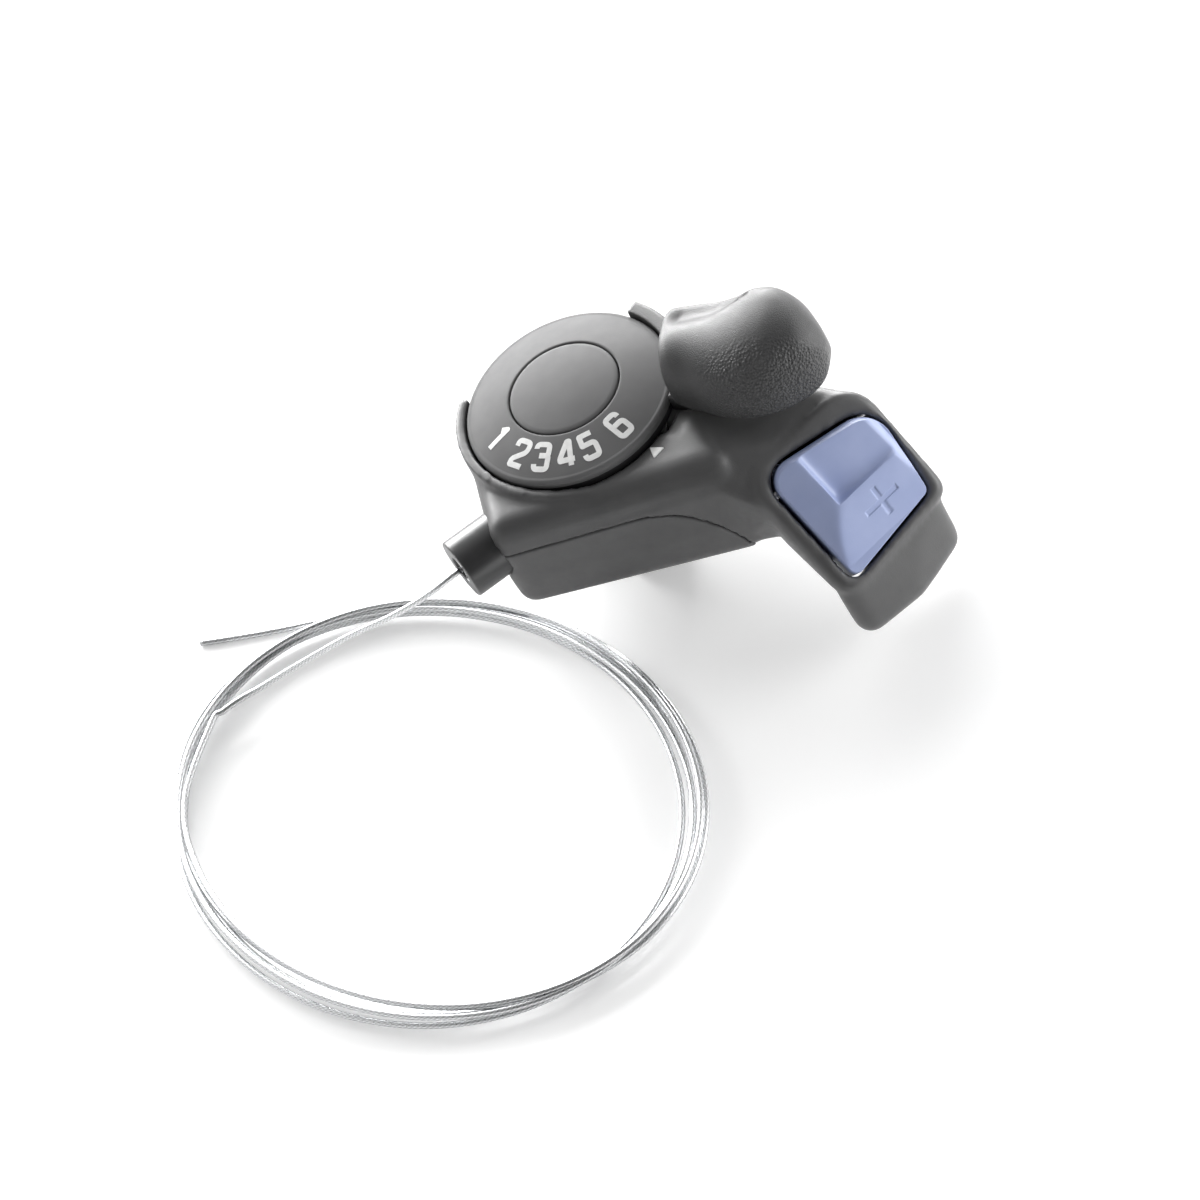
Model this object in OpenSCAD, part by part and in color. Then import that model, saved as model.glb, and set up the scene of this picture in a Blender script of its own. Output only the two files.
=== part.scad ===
// Right-hand six-speed thumb shifter with a release button, for a 22.2 mm handlebar.
// The handlebar runs along X through the origin, the dial faces +Z and the rider sits towards -Y.

/* [Handlebar clamp] */
// Diameter of the handlebar that the clamp closes on
bar_d = 22.2; // [22.2:0.1:22.4]
// Thickness of the steel clamp band
band_t = 1.5; // [1.2:0.1:1.8]
// Width of the clamp band along the handlebar
band_w = 12; // [10:1:14]

/* [Dial] */
// Radius of the number dial
dial_r = 20; // [19.8:0.1:20.2]
// Radius of the plain centre cap
cap_r = 10.5; // [9:0.5:11.5]
// Height of the middle of the dial above the handlebar axis
dial_top = 34; // [34:0.1:34.5]
// Radius of the sphere that the dial's dome is a part of
dome_r = 53; // [50:1:60]

/* [Housing] */
// Height of the housing's top face above the handlebar axis
top_z = 28; // [27.8:0.1:28.2]
// Height of the housing's flat bottom edge
bottom_z = 6; // [5.5:0.5:6.5]
// Height of the parting line between the upper housing and the lower cover
split_z = 21.5; // [21:0.25:22]
// Wall thickness of the mouldings
wall = 1.8; // [1.6:0.1:2]

/* [Thumb lever] */
// Direction of the lever in sixth gear, seen from above
lever_angle = -38; // [-40:1:-36]
// Turn of the lever from sixth gear to first
lever_travel = 98; // [90:1:98]

/* [Release button] */
// Travel of the release button
button_travel = 6; // [4:0.5:6]
// Slope of the button face
face_tilt = 46.5; // [46:0.5:47]
// Turn of the button face about the vertical
face_yaw = 10.5; // [10:0.5:11]

/* [Cable] */
// Diameter of the inner shift cable
cable_d = 1.2; // [1.1:0.1:1.3]
// Radius of the cable's middle on the drum
drum_r = 9; // [9:0.1:9.2]
// Outer diameter of the cable stop
stop_d = 11; // [10.5:0.5:11.5]

/* [Hidden] */

EPS = 0.01;
BAR_R = bar_d / 2;
FLOOR_Z = -BAR_R - band_t;
// Colours of the real pieces
BLACK_PLASTIC = [0.16, 0.16, 0.17];
GREY_PLASTIC = [0.30, 0.30, 0.31];
BLUE_PLASTIC = [0.66, 0.71, 0.86];
STEEL = [0.72, 0.73, 0.75];
BRASS = [0.78, 0.66, 0.38];
NYLON = [0.86, 0.85, 0.80];
CABLE = [0.80, 0.81, 0.83];

// Housing: circles that the body's plan is drawn round, anticlockwise, as [x, y, radius, arc steps]
PLAN_CIRCLES = [[0, 0, 22.3, 40], [-24, -12.4, 4, 9], [11, -32.6, 4, 7]];
// Heights of the body's rings, each with how far it is drawn in from the plan all round
// and how far its arm end leans back from the front wall
OUTER_RINGS = [
    [bottom_z, 2.6, 0], [bottom_z + 0.7, 1.2, 0], [bottom_z + 2.2, 0.5, 0], [14, 0.2, 0.4], [split_z, 0, 1.6],
    [top_z - 3.5, 0.5, 2.4], [top_z - 1.6, 1.4, 3], [top_z - 0.5, 2.6, 3.4], [top_z, 3.8, 3.6]
];
INNER_RINGS = [
    [bottom_z + wall, wall + 0.9, 0], [bottom_z + 3, wall + 0.3, 0], [split_z, wall, 1.6],
    [top_z - 3.6, wall + 0.6, 2.6], [top_z - wall, wall + 2, 3.6]
];
// Turn of the front wall in plan, and the round end of the parting line on it
FRONT_TURN = -30.1;
SPLIT_ROUND = 15;
SPLIT_CENTRE = [-2.2, bottom_z + 0.5];
RECESS_R = dial_r + 0.4;
WALL_R = 22.3;
WALL_FROM = 133;
WALL_STEPS = 12;
WALL_STEP_TURN = 9.5;
WALL_TOP = 30.2;
SWEPT_R = 24.4;
SWEPT_Z = 26.5;
SWEPT_FROM = -66;
SWEPT_TURN = 195;

// Button face: middle of the face, its corners, and the button's own corners
FACE_MIDDLE = [30.9, -44, 12.9];
FACE_CORNERS = [[-9.5, 9.5, 5, 6], [-11.9, -11.2, 2.6, 5], [9.7, -9.5, 2.3, 5], [6, 8.2, 6.5, 8]];
BUTTON_CORNERS = [[-7.4, 7.9, 4.3, 6], [-10.2, -10.4, 1.6, 3], [7.9, -8.4, 1.5, 3], [5.2, 3.6, 6.2, 8]];
BUTTON_WALL = 1.1;
BUTTON_GAP = 0.6;
BUTTON_DEPTH = 5;
BUTTON_PIN_R = 1;
BUTTON_PIN_PLACE = [8.5, -2.5];
BUTTON_PIN_ENDS = [-13.6, 11];
BUTTON_MIDDLE = [-1, 0];
// Spheres that the arm and the pod are stretched round, as [x, y, z, radius]
ARM_BALLS = [
    [9.5, -27.5, top_z - 4.4, 4.4], [17.5, -9.5, top_z - 4, 4], [33, -28.5, 20.6, 4], [21, -32, 21, 4],
    [12, -33, bottom_z + 2.4, 2.4], [18.5, -9.5, bottom_z + 3, 3], [31, -29, 9.4, 3], [18, -37, 9, 3]
];
POD_BALLS = [[17.2, -40, 8, 2.2], [38.5, -34, 9, 3], [19, -50.5, 4.6, 2.6], [41, -45, 1.5, 2.4], [29, -46, -0.5, 3],
    [28, -34, 7, 3]];
LIP_BALLS = [
    [20.2, -52.2, 0.4, 3.4], [40, -46.6, 2.2, 3], [20.2, -53.6, -4.4, 3.4], [39.2, -49.2, -4.2, 3.2],
    [29.5, -52.6, -4.8, 3.4]
];

// Mechanism: pivots, heights and sizes
AXLE_R = 4;
STUD_R = 2.5;
RUNNING = 0.05;
SNUG = 0.02;
PLATE_Z = BAR_R + wall;
PLATE_T = 1.6;
DRUM_Z = 15.8;
GROOVE_Z = 19.5;
DRUM_TOP = 23.2;
FLANGE_R = 12.2;
HUB_R = 7.5;
HUB_FLAT = 6.2;
RATCHET_Z = 24.4;
RATCHET_T = 2;
RATCHET_R = 13;
TOOTH_STEP = 16;
LEVER_Z = 27;
LEVER_T = 1.5;
EAR_R = 22.6;
EAR_TOP = 30.8;
TONGUE_W = 9;
TONGUE_LENGTH = 15;
PAWL_PIVOT = [-2.4, -16.8];
PAWL_NOSE = [6.3, -11.9];
PAWL_TAIL = [10.6, -22.6];
CRANK_PIVOT = [22, -27];
CRANK_INNER = [11.4, -19.9];
CRANK_OUTER = [28, -29.5];
CRANK_Z = 10.4;
CRANK_T = 1.6;
PAWL_FINGER_Z = 15.8;
PIVOT_R = 1.5;
SCREW_SPOTS = [[-19, -13], [-8.8, -19.2], [-13, 13]];
SCREW_R = 1.25;
SCREW_HEAD = [2.6, 1.3];
SCREW_TOP = 20;
BOSS_R = 2.8;
POST_SPOTS = [[-8.5, -8.5], [-8.5, 8.5]];
POST_R = 1.6;

// Clamp: height of the band's turned-out ends, and the bolt with its nut
LUG_Z = 4.2;
LUG_END = 22;
HOOK_END = -16;
HOOK_W = 8;
CLAMP_BOLT_Y = 16.9;
CLAMP_BOLT_R = 2.5;
NUT_R = 4.62;
NUT_H = 4;
NUT_Z = 8.2;

// Cable: stop, nipple and the route of the free cable
STOP_MOUTH = -34.5;
STOP_ROOT = -25;
STOP_FLANGE = 0.8;
CABLE_Y = -drum_r;
NIPPLE_TURN = 32;
// Middle of the coil on the table, and its two conjugate half axes
COIL_MIDDLE = [-63.4, -25.5];
COIL_P = [35.2, -38.2];
COIL_Q = [24.7, 41];
COIL_HALF_W = 0.07;
COIL_H = 4;
COIL_STEPS = 56;
CABLE_FLOOR = FLOOR_Z + cable_d / 2;
COIL_TOP = FLOOR_Z + COIL_H + cable_d / 2;
LEAD_ROUTE = [
    [STOP_MOUTH, CABLE_Y, GROOVE_Z], [-36.8, CABLE_Y, GROOVE_Z], [-39.6, -8.4, 18.7], [-42.6, -6.9, 17.2],
    [-45.7, -4.8, 15.4], [-49.8, -1, 12.4], [-55, 5.2, 7.8], [-58.8, 9.2, 4.6], [-62.6, 13, 1.4],
    [-66.2, 16.5, -1.6], [-69.6, 19.7, -4.4], [-73.4, 22.3, -6.6], [-77.2, 24, -7.7],
    [-81.3, 24.4, COIL_TOP], [-84.4, 23.6, COIL_TOP], [-87.3, 22.2, COIL_TOP]
];
TAIL_ROUTE = [
    [-52.6, 29.8, CABLE_FLOOR], [-56, 32.2, CABLE_FLOOR], [-60, 34.9, CABLE_FLOOR], [-63, 36.9, CABLE_FLOOR],
    [-66, 39, CABLE_FLOOR], [-69.6, 41.6, CABLE_FLOOR], [-73, 44.1, CABLE_FLOOR], [-75.6, 46.1, CABLE_FLOOR]
];

// Angle of the outward normal where the belt round two circles leaves the first for the second
function leave_angle(a, b) =
    let (d = [b[0] - a[0], b[1] - a[1]])
    atan2(d[1], d[0]) - acos((a[2] - b[2]) / norm(d));

// Points of a belt stretched anticlockwise round circles, drawn in by inset
function belt(circles, inset) = [
    for (i = [0 : len(circles) - 1])
    let (
        before = circles[(i + len(circles) - 1) % len(circles)],
        here = circles[i],
        after = circles[(i + 1) % len(circles)],
        from = leave_angle(before, here),
        turn = (leave_angle(here, after) - from + 720) % 360,
        steps = here[3]
    )
    for (k = [0 : steps])
    let (a = from + turn * k / steps)
    [here[0] + (here[2] - inset) * cos(a), here[1] + (here[2] - inset) * sin(a)]
];

// The same outline with more points on its straight stretches
function refined(points, step) = [
    for (i = [0 : len(points) - 1])
    let (a = points[i], b = points[(i + 1) % len(points)], n = max(1, ceil(norm(b - a) / step)))
    for (k = [0 : n - 1]) a + (b - a) * k / n
];

// Faces of a stack of closed rings with n points each, both ends closed by one flat face
function stack_faces(n, rings) = concat(
    [[for (i = [0 : n - 1]) i]],
    [for (r = [0 : rings - 2]) for (i = [0 : n - 1])
        each [[r * n + i, (r + 1) * n + i, (r + 1) * n + (i + 1) % n],
              [r * n + i, (r + 1) * n + (i + 1) % n, r * n + (i + 1) % n]]],
    [[for (i = [n - 1 : -1 : 0]) (rings - 1) * n + i]]
);

// A solid from closed rings that all have the same number of points
module stack(rings) {
    polyhedron([for (ring = rings) each ring], stack_faces(len(rings[0]), len(rings)), convexity = 6);
}

// A tube round a route; each ring stands across the line between its neighbours
function across(route, i) =
    let (d = route[min(i + 1, len(route) - 1)] - route[max(i - 1, 0)])
    d / norm(d);
function unit(v) = v / norm(v);
function tube_ring(route, i, r, sides) =
    let (d = across(route, i), side = unit(cross([0, 0, 1], d)), up = cross(d, side))
    [for (k = [0 : sides - 1]) route[i] + r * (side * cos(360 * k / sides) + up * sin(360 * k / sides))];
module tube(route, r, sides = 8) {
    stack([for (i = [0 : len(route) - 1]) tube_ring(route, i, r, sides)]);
}

// A point at a polar place
function polar(r, a) = [r * cos(a), r * sin(a)];

// A flat washer or ring standing at height z
module washer(outer, inner, z, h, fn = 64) {
    translate([0, 0, z]) difference() {
        cylinder(r = outer, h = h, $fn = fn);
        translate([0, 0, -1]) cylinder(r = inner, h = h + 2, $fn = fn);
    }
}

// A sector of a ring between two angles
module ring_sector(outer, inner, z, h, from, turn) {
    translate([0, 0, z]) rotate([0, 0, from]) rotate_extrude(angle = turn, $fn = 96)
        translate([inner, 0]) square([outer - inner, h]);
}

// Places its children on the button face: x along the face, y up its slope, z out of it
module on_face() {
    translate(FACE_MIDDLE) rotate([face_tilt, 0, face_yaw]) children();
}

// Rounded four-cornered outline on the button face
module face_outline(corners, grow) {
    polygon(belt(corners, -grow));
}

// The body of the housing as a solid between its rings
module body_stack(rings) {
    stack([
        for (ring = rings)
        let (arm_end = PLAN_CIRCLES[2], back = ring[2] * [-sin(FRONT_TURN), cos(FRONT_TURN)])
        [for (p = belt([PLAN_CIRCLES[0], PLAN_CIRCLES[1],
                        [arm_end[0] + back[0], arm_end[1] + back[1], arm_end[2], arm_end[3]]], ring[1]))
         [p[0], p[1], ring[0]]]
    ]);
}

// A thin slice of the pod's face, depth below it and grown all round
module face_slice(depth, grow) {
    on_face() translate([0, 0, -depth]) linear_extrude(0.2) face_outline(FACE_CORNERS, grow);
}

// The arm towards the button and the pod that frames it
module arm() {
    hull() {
        for (b = ARM_BALLS) translate([b[0], b[1], b[2]]) sphere(r = b[3], $fn = 24);
        intersection() {
            face_slice(1.2, 0.6);
            on_face() translate([-30, 7, -5]) cube([60, 30, 10]);
        }
    }
}
module pod() {
    hull() {
        face_slice(0.2, 0);
        face_slice(1.2, 0.8);
        face_slice(3.4, 1);
        for (b = POD_BALLS) translate([b[0], b[1], b[2]]) sphere(r = b[3], $fn = 20);
    }
    hull() for (b = LIP_BALLS) translate([b[0], b[1], b[2]]) sphere(r = b[3], $fn = 20);
}

// Room inside the arm, and behind the button
module arm_room() {
    hull() {
        on_face() translate([-4.6, 8.2, -7]) cube([5, 3.8, 4]);
        translate([25.6, -34.4, CRANK_Z - 1.4]) cube([4.8, 6, 4.4]);
    }
    hull() for (b = ARM_BALLS) translate([b[0], b[1], b[2]]) sphere(r = b[3] - wall, $fn = 16);
    on_face() translate([0, 0, -BUTTON_DEPTH - 4]) linear_extrude(BUTTON_DEPTH + 10)
        face_outline(BUTTON_CORNERS, BUTTON_GAP);
}

// The part of the body that belongs to the lower cover, with a round end under the arm
module cover_side(gap) {
    rotate([0, 0, FRONT_TURN]) rotate([90, 0, 0]) linear_extrude(120, center = true)
        polygon(concat(
            [[-60, bottom_z - 5], [SPLIT_CENTRE[0] + SPLIT_ROUND - gap, bottom_z - 5]],
            [for (a = [0 : 7.5 : 90]) SPLIT_CENTRE + (SPLIT_ROUND - gap) * [cos(a), sin(a)]],
            [[-60, SPLIT_CENTRE[1] + SPLIT_ROUND - gap]]
        ));
}

// The raised wall round the left of the dial, which falls towards the front
module dial_wall() {
    for (i = [0 : WALL_STEPS - 1]) hull() for (k = [i, i + 1])
        rotate([0, 0, WALL_FROM + k * WALL_STEP_TURN]) translate([RECESS_R, -0.05, top_z - 4])
            cube([WALL_R - RECESS_R, 0.1, WALL_TOP - top_z + 4 - 2.1 * pow(k / WALL_STEPS, 3)]);
}

module bar_space(r) {
    translate([-60, 0, 0]) rotate([0, 90, 0]) cylinder(r = r, h = 120, $fn = 96);
}

// Hole for the cable stop, with the seat of the flange that holds it inside the wall
module stop_space() {
    translate([STOP_MOUTH, CABLE_Y, GROOVE_Z]) rotate([0, 90, 0]) {
        cylinder(r = stop_d / 2, h = STOP_ROOT - STOP_MOUTH + 3, $fn = 64);
        translate([0, 0, STOP_ROOT - STOP_MOUTH + 0.6])
            cylinder(r = stop_d / 2 + STOP_FLANGE, h = 4, $fn = 64);
    }
}

// Line of the button's pivot pin, from the pin's left end
module button_axis() {
    on_face() translate([BUTTON_PIN_ENDS[0], BUTTON_PIN_PLACE[0], BUTTON_PIN_PLACE[1]]) rotate([0, 90, 0]) children();
}

// Posts inside the body that the housing screws bite into
module screw_bosses() {
    intersection() {
        for (p = SCREW_SPOTS) translate([p[0], p[1], bottom_z + wall]) cylinder(r = BOSS_R, h = 19, $fn = 32);
        union() {
            body_stack(INNER_RINGS);
            difference() {
                body_stack(OUTER_RINGS);
                cover_side(0);
            }
        }
        translate([-50, -50, 0]) cube([100, 100, SWEPT_Z - 0.5]);
    }
}

module upper_housing() {
    color(BLACK_PLASTIC) {
        difference() {
            screw_bosses();
            for (p = SCREW_SPOTS) translate([p[0], p[1], 0])
                cylinder(r = SCREW_R + SNUG, h = SCREW_TOP + 0.5, $fn = 24);
        }
        translate([CRANK_PIVOT[0], CRANK_PIVOT[1], bottom_z + 1]) difference() {
            cylinder(r = 3.2, h = CRANK_Z - bottom_z - 1.1, $fn = 32);
            translate([0, 0, 1]) cylinder(r = PIVOT_R + SNUG, h = 5, $fn = 32);
        }
        difference() {
            union() {
                difference() {
                    body_stack(OUTER_RINGS);
                    cover_side(0);
                }
                arm();
                pod();
                dial_wall();
            }
            difference() {
                union() {
                    body_stack(INNER_RINGS);
                    arm_room();
                }
                ring_sector(SWEPT_R + wall, RECESS_R, SWEPT_Z - wall, 4, SWEPT_FROM - 5, SWEPT_TURN + 10);
                bar_space(BAR_R + 0.6 + wall);
            }
            translate([0, 0, PLATE_Z]) cylinder(r = RECESS_R, h = 30, $fn = 96);
            ring_sector(SWEPT_R, RECESS_R - 1, SWEPT_Z, 10, SWEPT_FROM, SWEPT_TURN);
            bar_space(BAR_R + 0.6);
            stop_space();
            button_axis() cylinder(r = BUTTON_PIN_R, h = BUTTON_PIN_ENDS[1] - BUTTON_PIN_ENDS[0], $fn = 32);
        }
    }
}

module lower_cover() {
    color(BLACK_PLASTIC) difference() {
        intersection() {
            body_stack(OUTER_RINGS);
            cover_side(0);
        }
        difference() {
            body_stack(INNER_RINGS);
            bar_space(BAR_R + wall);
        }
        bar_space(BAR_R);
        stop_space();
        for (p = SCREW_SPOTS) translate([p[0], p[1], bottom_z - 1]) {
            cylinder(r = SCREW_R + 0.15, h = wall + 2, $fn = 32);
            cylinder(r = SCREW_HEAD[0] + 0.1, h = 1.6, $fn = 32);
        }
        translate([0, CLAMP_BOLT_Y, bottom_z - 1]) cylinder(r = CLAMP_BOLT_R + 0.25, h = 4, $fn = 32);
        translate([0, CLAMP_BOLT_Y, NUT_Z]) cylinder(r = NUT_R + 0.08, h = NUT_H + 1, $fn = 6);
        translate([-HOOK_W / 2 - 0.2, HOOK_END - 0.1, bottom_z - 1])
            cube([HOOK_W + 0.4, band_t + 0.2, wall + 2]);
    }
    color(BLACK_PLASTIC) cover_posts();
}

// On the cover's floor: posts that carry the base plate, and the socket of the clamp nut
module cover_posts() {
    for (p = POST_SPOTS) translate([p[0], p[1], 0]) difference() {
        union() {
            cylinder(r = POST_R * 1.8, h = PLATE_Z, $fn = 32);
            cylinder(r = POST_R, h = PLATE_Z + PLATE_T + 0.5, $fn = 32);
        }
        translate([0, 0, -1]) cube([20, 20, 2], center = true);
        translate([-p[0], -p[1], 0]) bar_space(BAR_R + wall - 0.2);
    }
    translate([0, CLAMP_BOLT_Y, bottom_z + wall - EPS]) difference() {
        intersection() {
            cylinder(r = 6, h = NUT_Z + NUT_H - bottom_z - wall, $fn = 48);
            translate([0, -CLAMP_BOLT_Y, -1]) cylinder(r = WALL_R - wall - 0.1, h = 20, $fn = 96);
        }
        translate([0, 0, NUT_Z - bottom_z - wall]) cylinder(r = NUT_R + 0.08, h = NUT_H + 1, $fn = 6);
        translate([0, 0, -1]) cylinder(r = CLAMP_BOLT_R + 0.25, h = 4, $fn = 32);
    }
}

module base_plate() {
    color(STEEL) difference() {
        translate([0, 0, PLATE_Z]) linear_extrude(PLATE_T) hull() {
            circle(r = 13.5, $fn = 64);
            translate(PAWL_PIVOT) circle(r = 3.5, $fn = 32);
        }
        translate([0, 0, PLATE_Z - 1]) cylinder(r = AXLE_R - 1, h = PLATE_T + 2, $fn = 48);
        translate([PAWL_PIVOT[0], PAWL_PIVOT[1], PLATE_Z - 1]) cylinder(r = PIVOT_R, h = PLATE_T + 2, $fn = 32);
        for (p = POST_SPOTS) translate([p[0], p[1], PLATE_Z - 1]) cylinder(r = POST_R, h = PLATE_T + 2, $fn = 32);
    }
}

module main_axle() {
    color(STEEL) {
        translate([0, 0, PLATE_Z]) cylinder(r = AXLE_R - 1, h = PLATE_T, $fn = 48);
        translate([0, 0, PLATE_Z + PLATE_T]) cylinder(r = 7, h = DRUM_Z - 0.1 - PLATE_Z - PLATE_T, $fn = 48);
        translate([0, 0, DRUM_Z - 0.1]) cylinder(r = AXLE_R, h = LEVER_Z + LEVER_T + 0.2 - DRUM_Z, $fn = 48);
        translate([0, 0, LEVER_Z + LEVER_T + 0.1]) cylinder(r = STUD_R, h = 2.9, $fn = 32);
    }
}

// A pivot pin from z up to the top of the part that turns on it, with a head over that part
module pivot_pin(place, z, top) {
    translate([place[0], place[1], z]) {
        cylinder(r = PIVOT_R, h = top - z, $fn = 32);
        translate([0, 0, top - z]) cylinder(r = PIVOT_R + 0.9, h = 0.6, $fn = 32);
    }
}
module pawl_pin() color(STEEL) pivot_pin(PAWL_PIVOT, PLATE_Z, RATCHET_Z + RATCHET_T - 0.1);
module crank_pin() color(STEEL) pivot_pin(CRANK_PIVOT, bottom_z + 2, CRANK_Z + CRANK_T + 0.1);

module drum_bush() {
    color(BRASS) washer(AXLE_R + 1.4, AXLE_R + RUNNING, DRUM_Z, LEVER_Z + LEVER_T - DRUM_Z - 0.1, 48);
}

// Round hub with two flats, which keys the ratchet wheel and the lever plate to the drum
module hub_section(grow = 0) {
    intersection() {
        circle(r = HUB_R + grow, $fn = 64);
        square([2 * (HUB_R + 2), 2 * (HUB_FLAT + grow)], center = true);
    }
}

module cable_drum() {
    groove = cable_d / 2;
    color(NYLON) difference() {
        union() {
            translate([0, 0, DRUM_Z]) cylinder(r = FLANGE_R, h = DRUM_TOP - DRUM_Z, $fn = 96);
            translate([0, 0, DRUM_TOP - EPS]) cylinder(r = HUB_R + 2, h = RATCHET_Z - DRUM_TOP + EPS, $fn = 64);
            translate([0, 0, RATCHET_Z - EPS]) linear_extrude(LEVER_Z + LEVER_T - RATCHET_Z + EPS) hub_section();
        }
        rotate_extrude($fn = 96) polygon([
            [drum_r - groove - 0.1, GROOVE_Z - groove - 0.15], [FLANGE_R + 1, GROOVE_Z - groove - 1.2],
            [FLANGE_R + 1, GROOVE_Z + groove + 1.2], [drum_r - groove - 0.1, GROOVE_Z + groove + 0.15]
        ]);
        rotate([0, 0, NIPPLE_TURN - 90]) translate([drum_r + 0.1, 0, DRUM_Z - 1]) {
            cylinder(r = 2.35, h = GROOVE_Z - DRUM_Z + 3.3, $fn = 32);
        }
        translate([0, 0, DRUM_Z - 1]) cylinder(r = AXLE_R + 1.4, h = 20, $fn = 48);
    }
}

// Ratchet wheel: slanted teeth on the stretch that passes the pawl, plain elsewhere
module ratchet_wheel() {
    color(STEEL) difference() {
        translate([0, 0, RATCHET_Z]) linear_extrude(RATCHET_T) polygon(concat(
            [for (i = [0 : 5]) each [
                polar(RATCHET_R - 1.7, -176 + i * TOOTH_STEP),
                polar(RATCHET_R, -174 + i * TOOTH_STEP),
                polar(RATCHET_R - 0.2, -171 + i * TOOTH_STEP),
                polar(RATCHET_R - 1.2, -166 + i * TOOTH_STEP)
            ]],
            [for (a = [-78 : 6 : 180]) polar(RATCHET_R - 1.7, a)]
        ));
        translate([0, 0, RATCHET_Z - 1]) linear_extrude(RATCHET_T + 2) hub_section();
    }
}

module wave_washer() color(STEEL) washer(RATCHET_R - 2.6, HUB_R + 0.3, RATCHET_Z + RATCHET_T, 0.6);

// Section of the plate's raised ear, which passes the dial and carries the tongue in the grip
module ear_section(grow = 0) {
    polygon([
        [EAR_R - 3, LEVER_Z - grow], [EAR_R + grow, LEVER_Z - grow], [EAR_R + grow, EAR_TOP + grow],
        [EAR_R - LEVER_T - grow, EAR_TOP + grow], [EAR_R - LEVER_T - grow, LEVER_Z + LEVER_T + grow],
        [EAR_R - 3, LEVER_Z + LEVER_T + grow]
    ]);
}
module plate_ear(grow, turn) {
    rotate([0, 0, lever_angle - turn / 2]) rotate_extrude(angle = turn, $fn = 96) ear_section(grow);
    rotate([0, 0, lever_angle]) translate([EAR_R - 1, -TONGUE_W / 2 - grow, EAR_TOP - LEVER_T - grow])
        cube([TONGUE_LENGTH + grow, TONGUE_W + 2 * grow, LEVER_T + 2 * grow - EPS]);
}

// Steel plate inside the thumb lever: a disc, an ear and a tongue in the grip
module lever_plate() {
    color(STEEL) difference() {
        union() {
            translate([0, 0, LEVER_Z]) cylinder(r = dial_r - 0.2, h = LEVER_T, $fn = 96);
            plate_ear(0, 20);
        }
        translate([0, 0, LEVER_Z - 1]) linear_extrude(LEVER_T + 2) hub_section();
    }
}

// Thumb grip: sections along the lever, each as [distance out, near side, far side, bottom, top]
GRIP_SECTIONS = [
    [20.6, 1, 7, 32, 37], [21.2, -3, 9.5, 29.6, 39.5], [23, -6, 11.6, 28.7, 40.8], [27, -8.8, 12.4, 28.6, 41.6],
    [31, -10.8, 12.2, 28.5, 42.4], [35.5, -12, 11.6, 28.5, 43.6], [40, -12.2, 10.6, 28.5, 45],
    [44.5, -11.2, 9.4, 28.7, 46], [48.5, -9, 8, 29.2, 45.4], [51.2, -6.6, 6.4, 30.6, 43.6],
    [52.8, -4, 4.6, 33, 41.4], [53.5, -1.4, 2.4, 35.6, 39]
];
GRIP_POINTS = 28;
GRIP_SQUARENESS = 0.72;
GRIP_SQUARER = 0.2;
GRIP_SLOPE = 0.26;
GRIP_DISH = 2.2;

function signed_power(v, p) = sign(v) * pow(abs(v), p);
// A rounded section of the grip; its top falls away from the rider and is dished in the middle
function grip_point(s, a) =
    let (
        half_w = (s[2] - s[1]) / 2, half_h = (s[4] - s[3]) / 2,
        squareness = GRIP_SQUARENESS - (sin(a) < 0 ? GRIP_SQUARER : 0),
        across_w = signed_power(cos(a), squareness), up_h = signed_power(sin(a), squareness),
        top_share = max(0, up_h), bulk = min(1, (s[4] - s[3]) / 14)
    )
    [s[0], (s[1] + s[2]) / 2 - across_w * half_w,
     (s[3] + s[4]) / 2 + up_h * half_h + top_share * bulk * (
        GRIP_SLOPE * across_w * half_w - GRIP_DISH * pow(cos(45 * min(2, abs(s[0] - 31) / 9)), 2)
        * max(0, 1 - pow(across_w + 0.25, 2)))];

module thumb_lever() {
    color(BLACK_PLASTIC) difference() {
        union() {
            rotate([0, 0, lever_angle])
                stack([for (s = GRIP_SECTIONS) [for (k = [0 : GRIP_POINTS - 1]) grip_point(s, -360 * k / GRIP_POINTS)]]);
            ring_sector(SWEPT_R - 1.2, dial_r + 0.3, LEVER_Z + 0.2, 3.8, lever_angle - 12, 74);
        }
        plate_ear(0.02, 20.2);
    }
}

// Height of the dial's dome at a distance from the middle
function dome(r) = dial_top - dome_r + sqrt(dome_r * dome_r - r * r);

module number_dial() {
    rim_z = LEVER_Z + LEVER_T;
    color(GREY_PLASTIC) rotate_extrude($fn = 96) polygon(concat(
        [[cap_r + 0.25, dome(cap_r) - 1.7], [cap_r + 0.25, dome(cap_r + 0.25) - 0.2]],
        [for (r = [cap_r + 0.45 : 1.5 : dial_r - 1.6]) [r, dome(r)]],
        [for (a = [70 : -14 : 0]) [dial_r - 0.8 + 0.8 * cos(a), dome(dial_r - 0.8) - 0.8 + 0.8 * sin(a)]],
        [[dial_r, rim_z], [dial_r - 1.6, rim_z], [dial_r - 1.6, dome(dial_r - 1.6) - 1.5],
         [cap_r - 1, dome(cap_r) - 2.7], [cap_r - 1, dome(cap_r) - 1.7]]
    ));
}

module centre_cap() {
    color(GREY_PLASTIC) rotate_extrude($fn = 96) polygon(concat(
        [[0, dome(0) - 1.5]], [[0, dome(0)]],
        [for (r = [1.5 : 1.5 : cap_r - 0.5]) [r, dome(r)]],
        [[cap_r - 0.2, dome(cap_r - 0.2)], [cap_r, dome(cap_r) - 0.3], [cap_r, dome(cap_r) - 1.7],
         [cap_r - 1.5, dome(cap_r) - 1.7], [cap_r - 1.5, dome(cap_r) - 1.1]]
    ));
}

module axle_washer() color(STEEL) washer(6, STUD_R, LEVER_Z + LEVER_T + 0.1, 0.8, 48);

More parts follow.
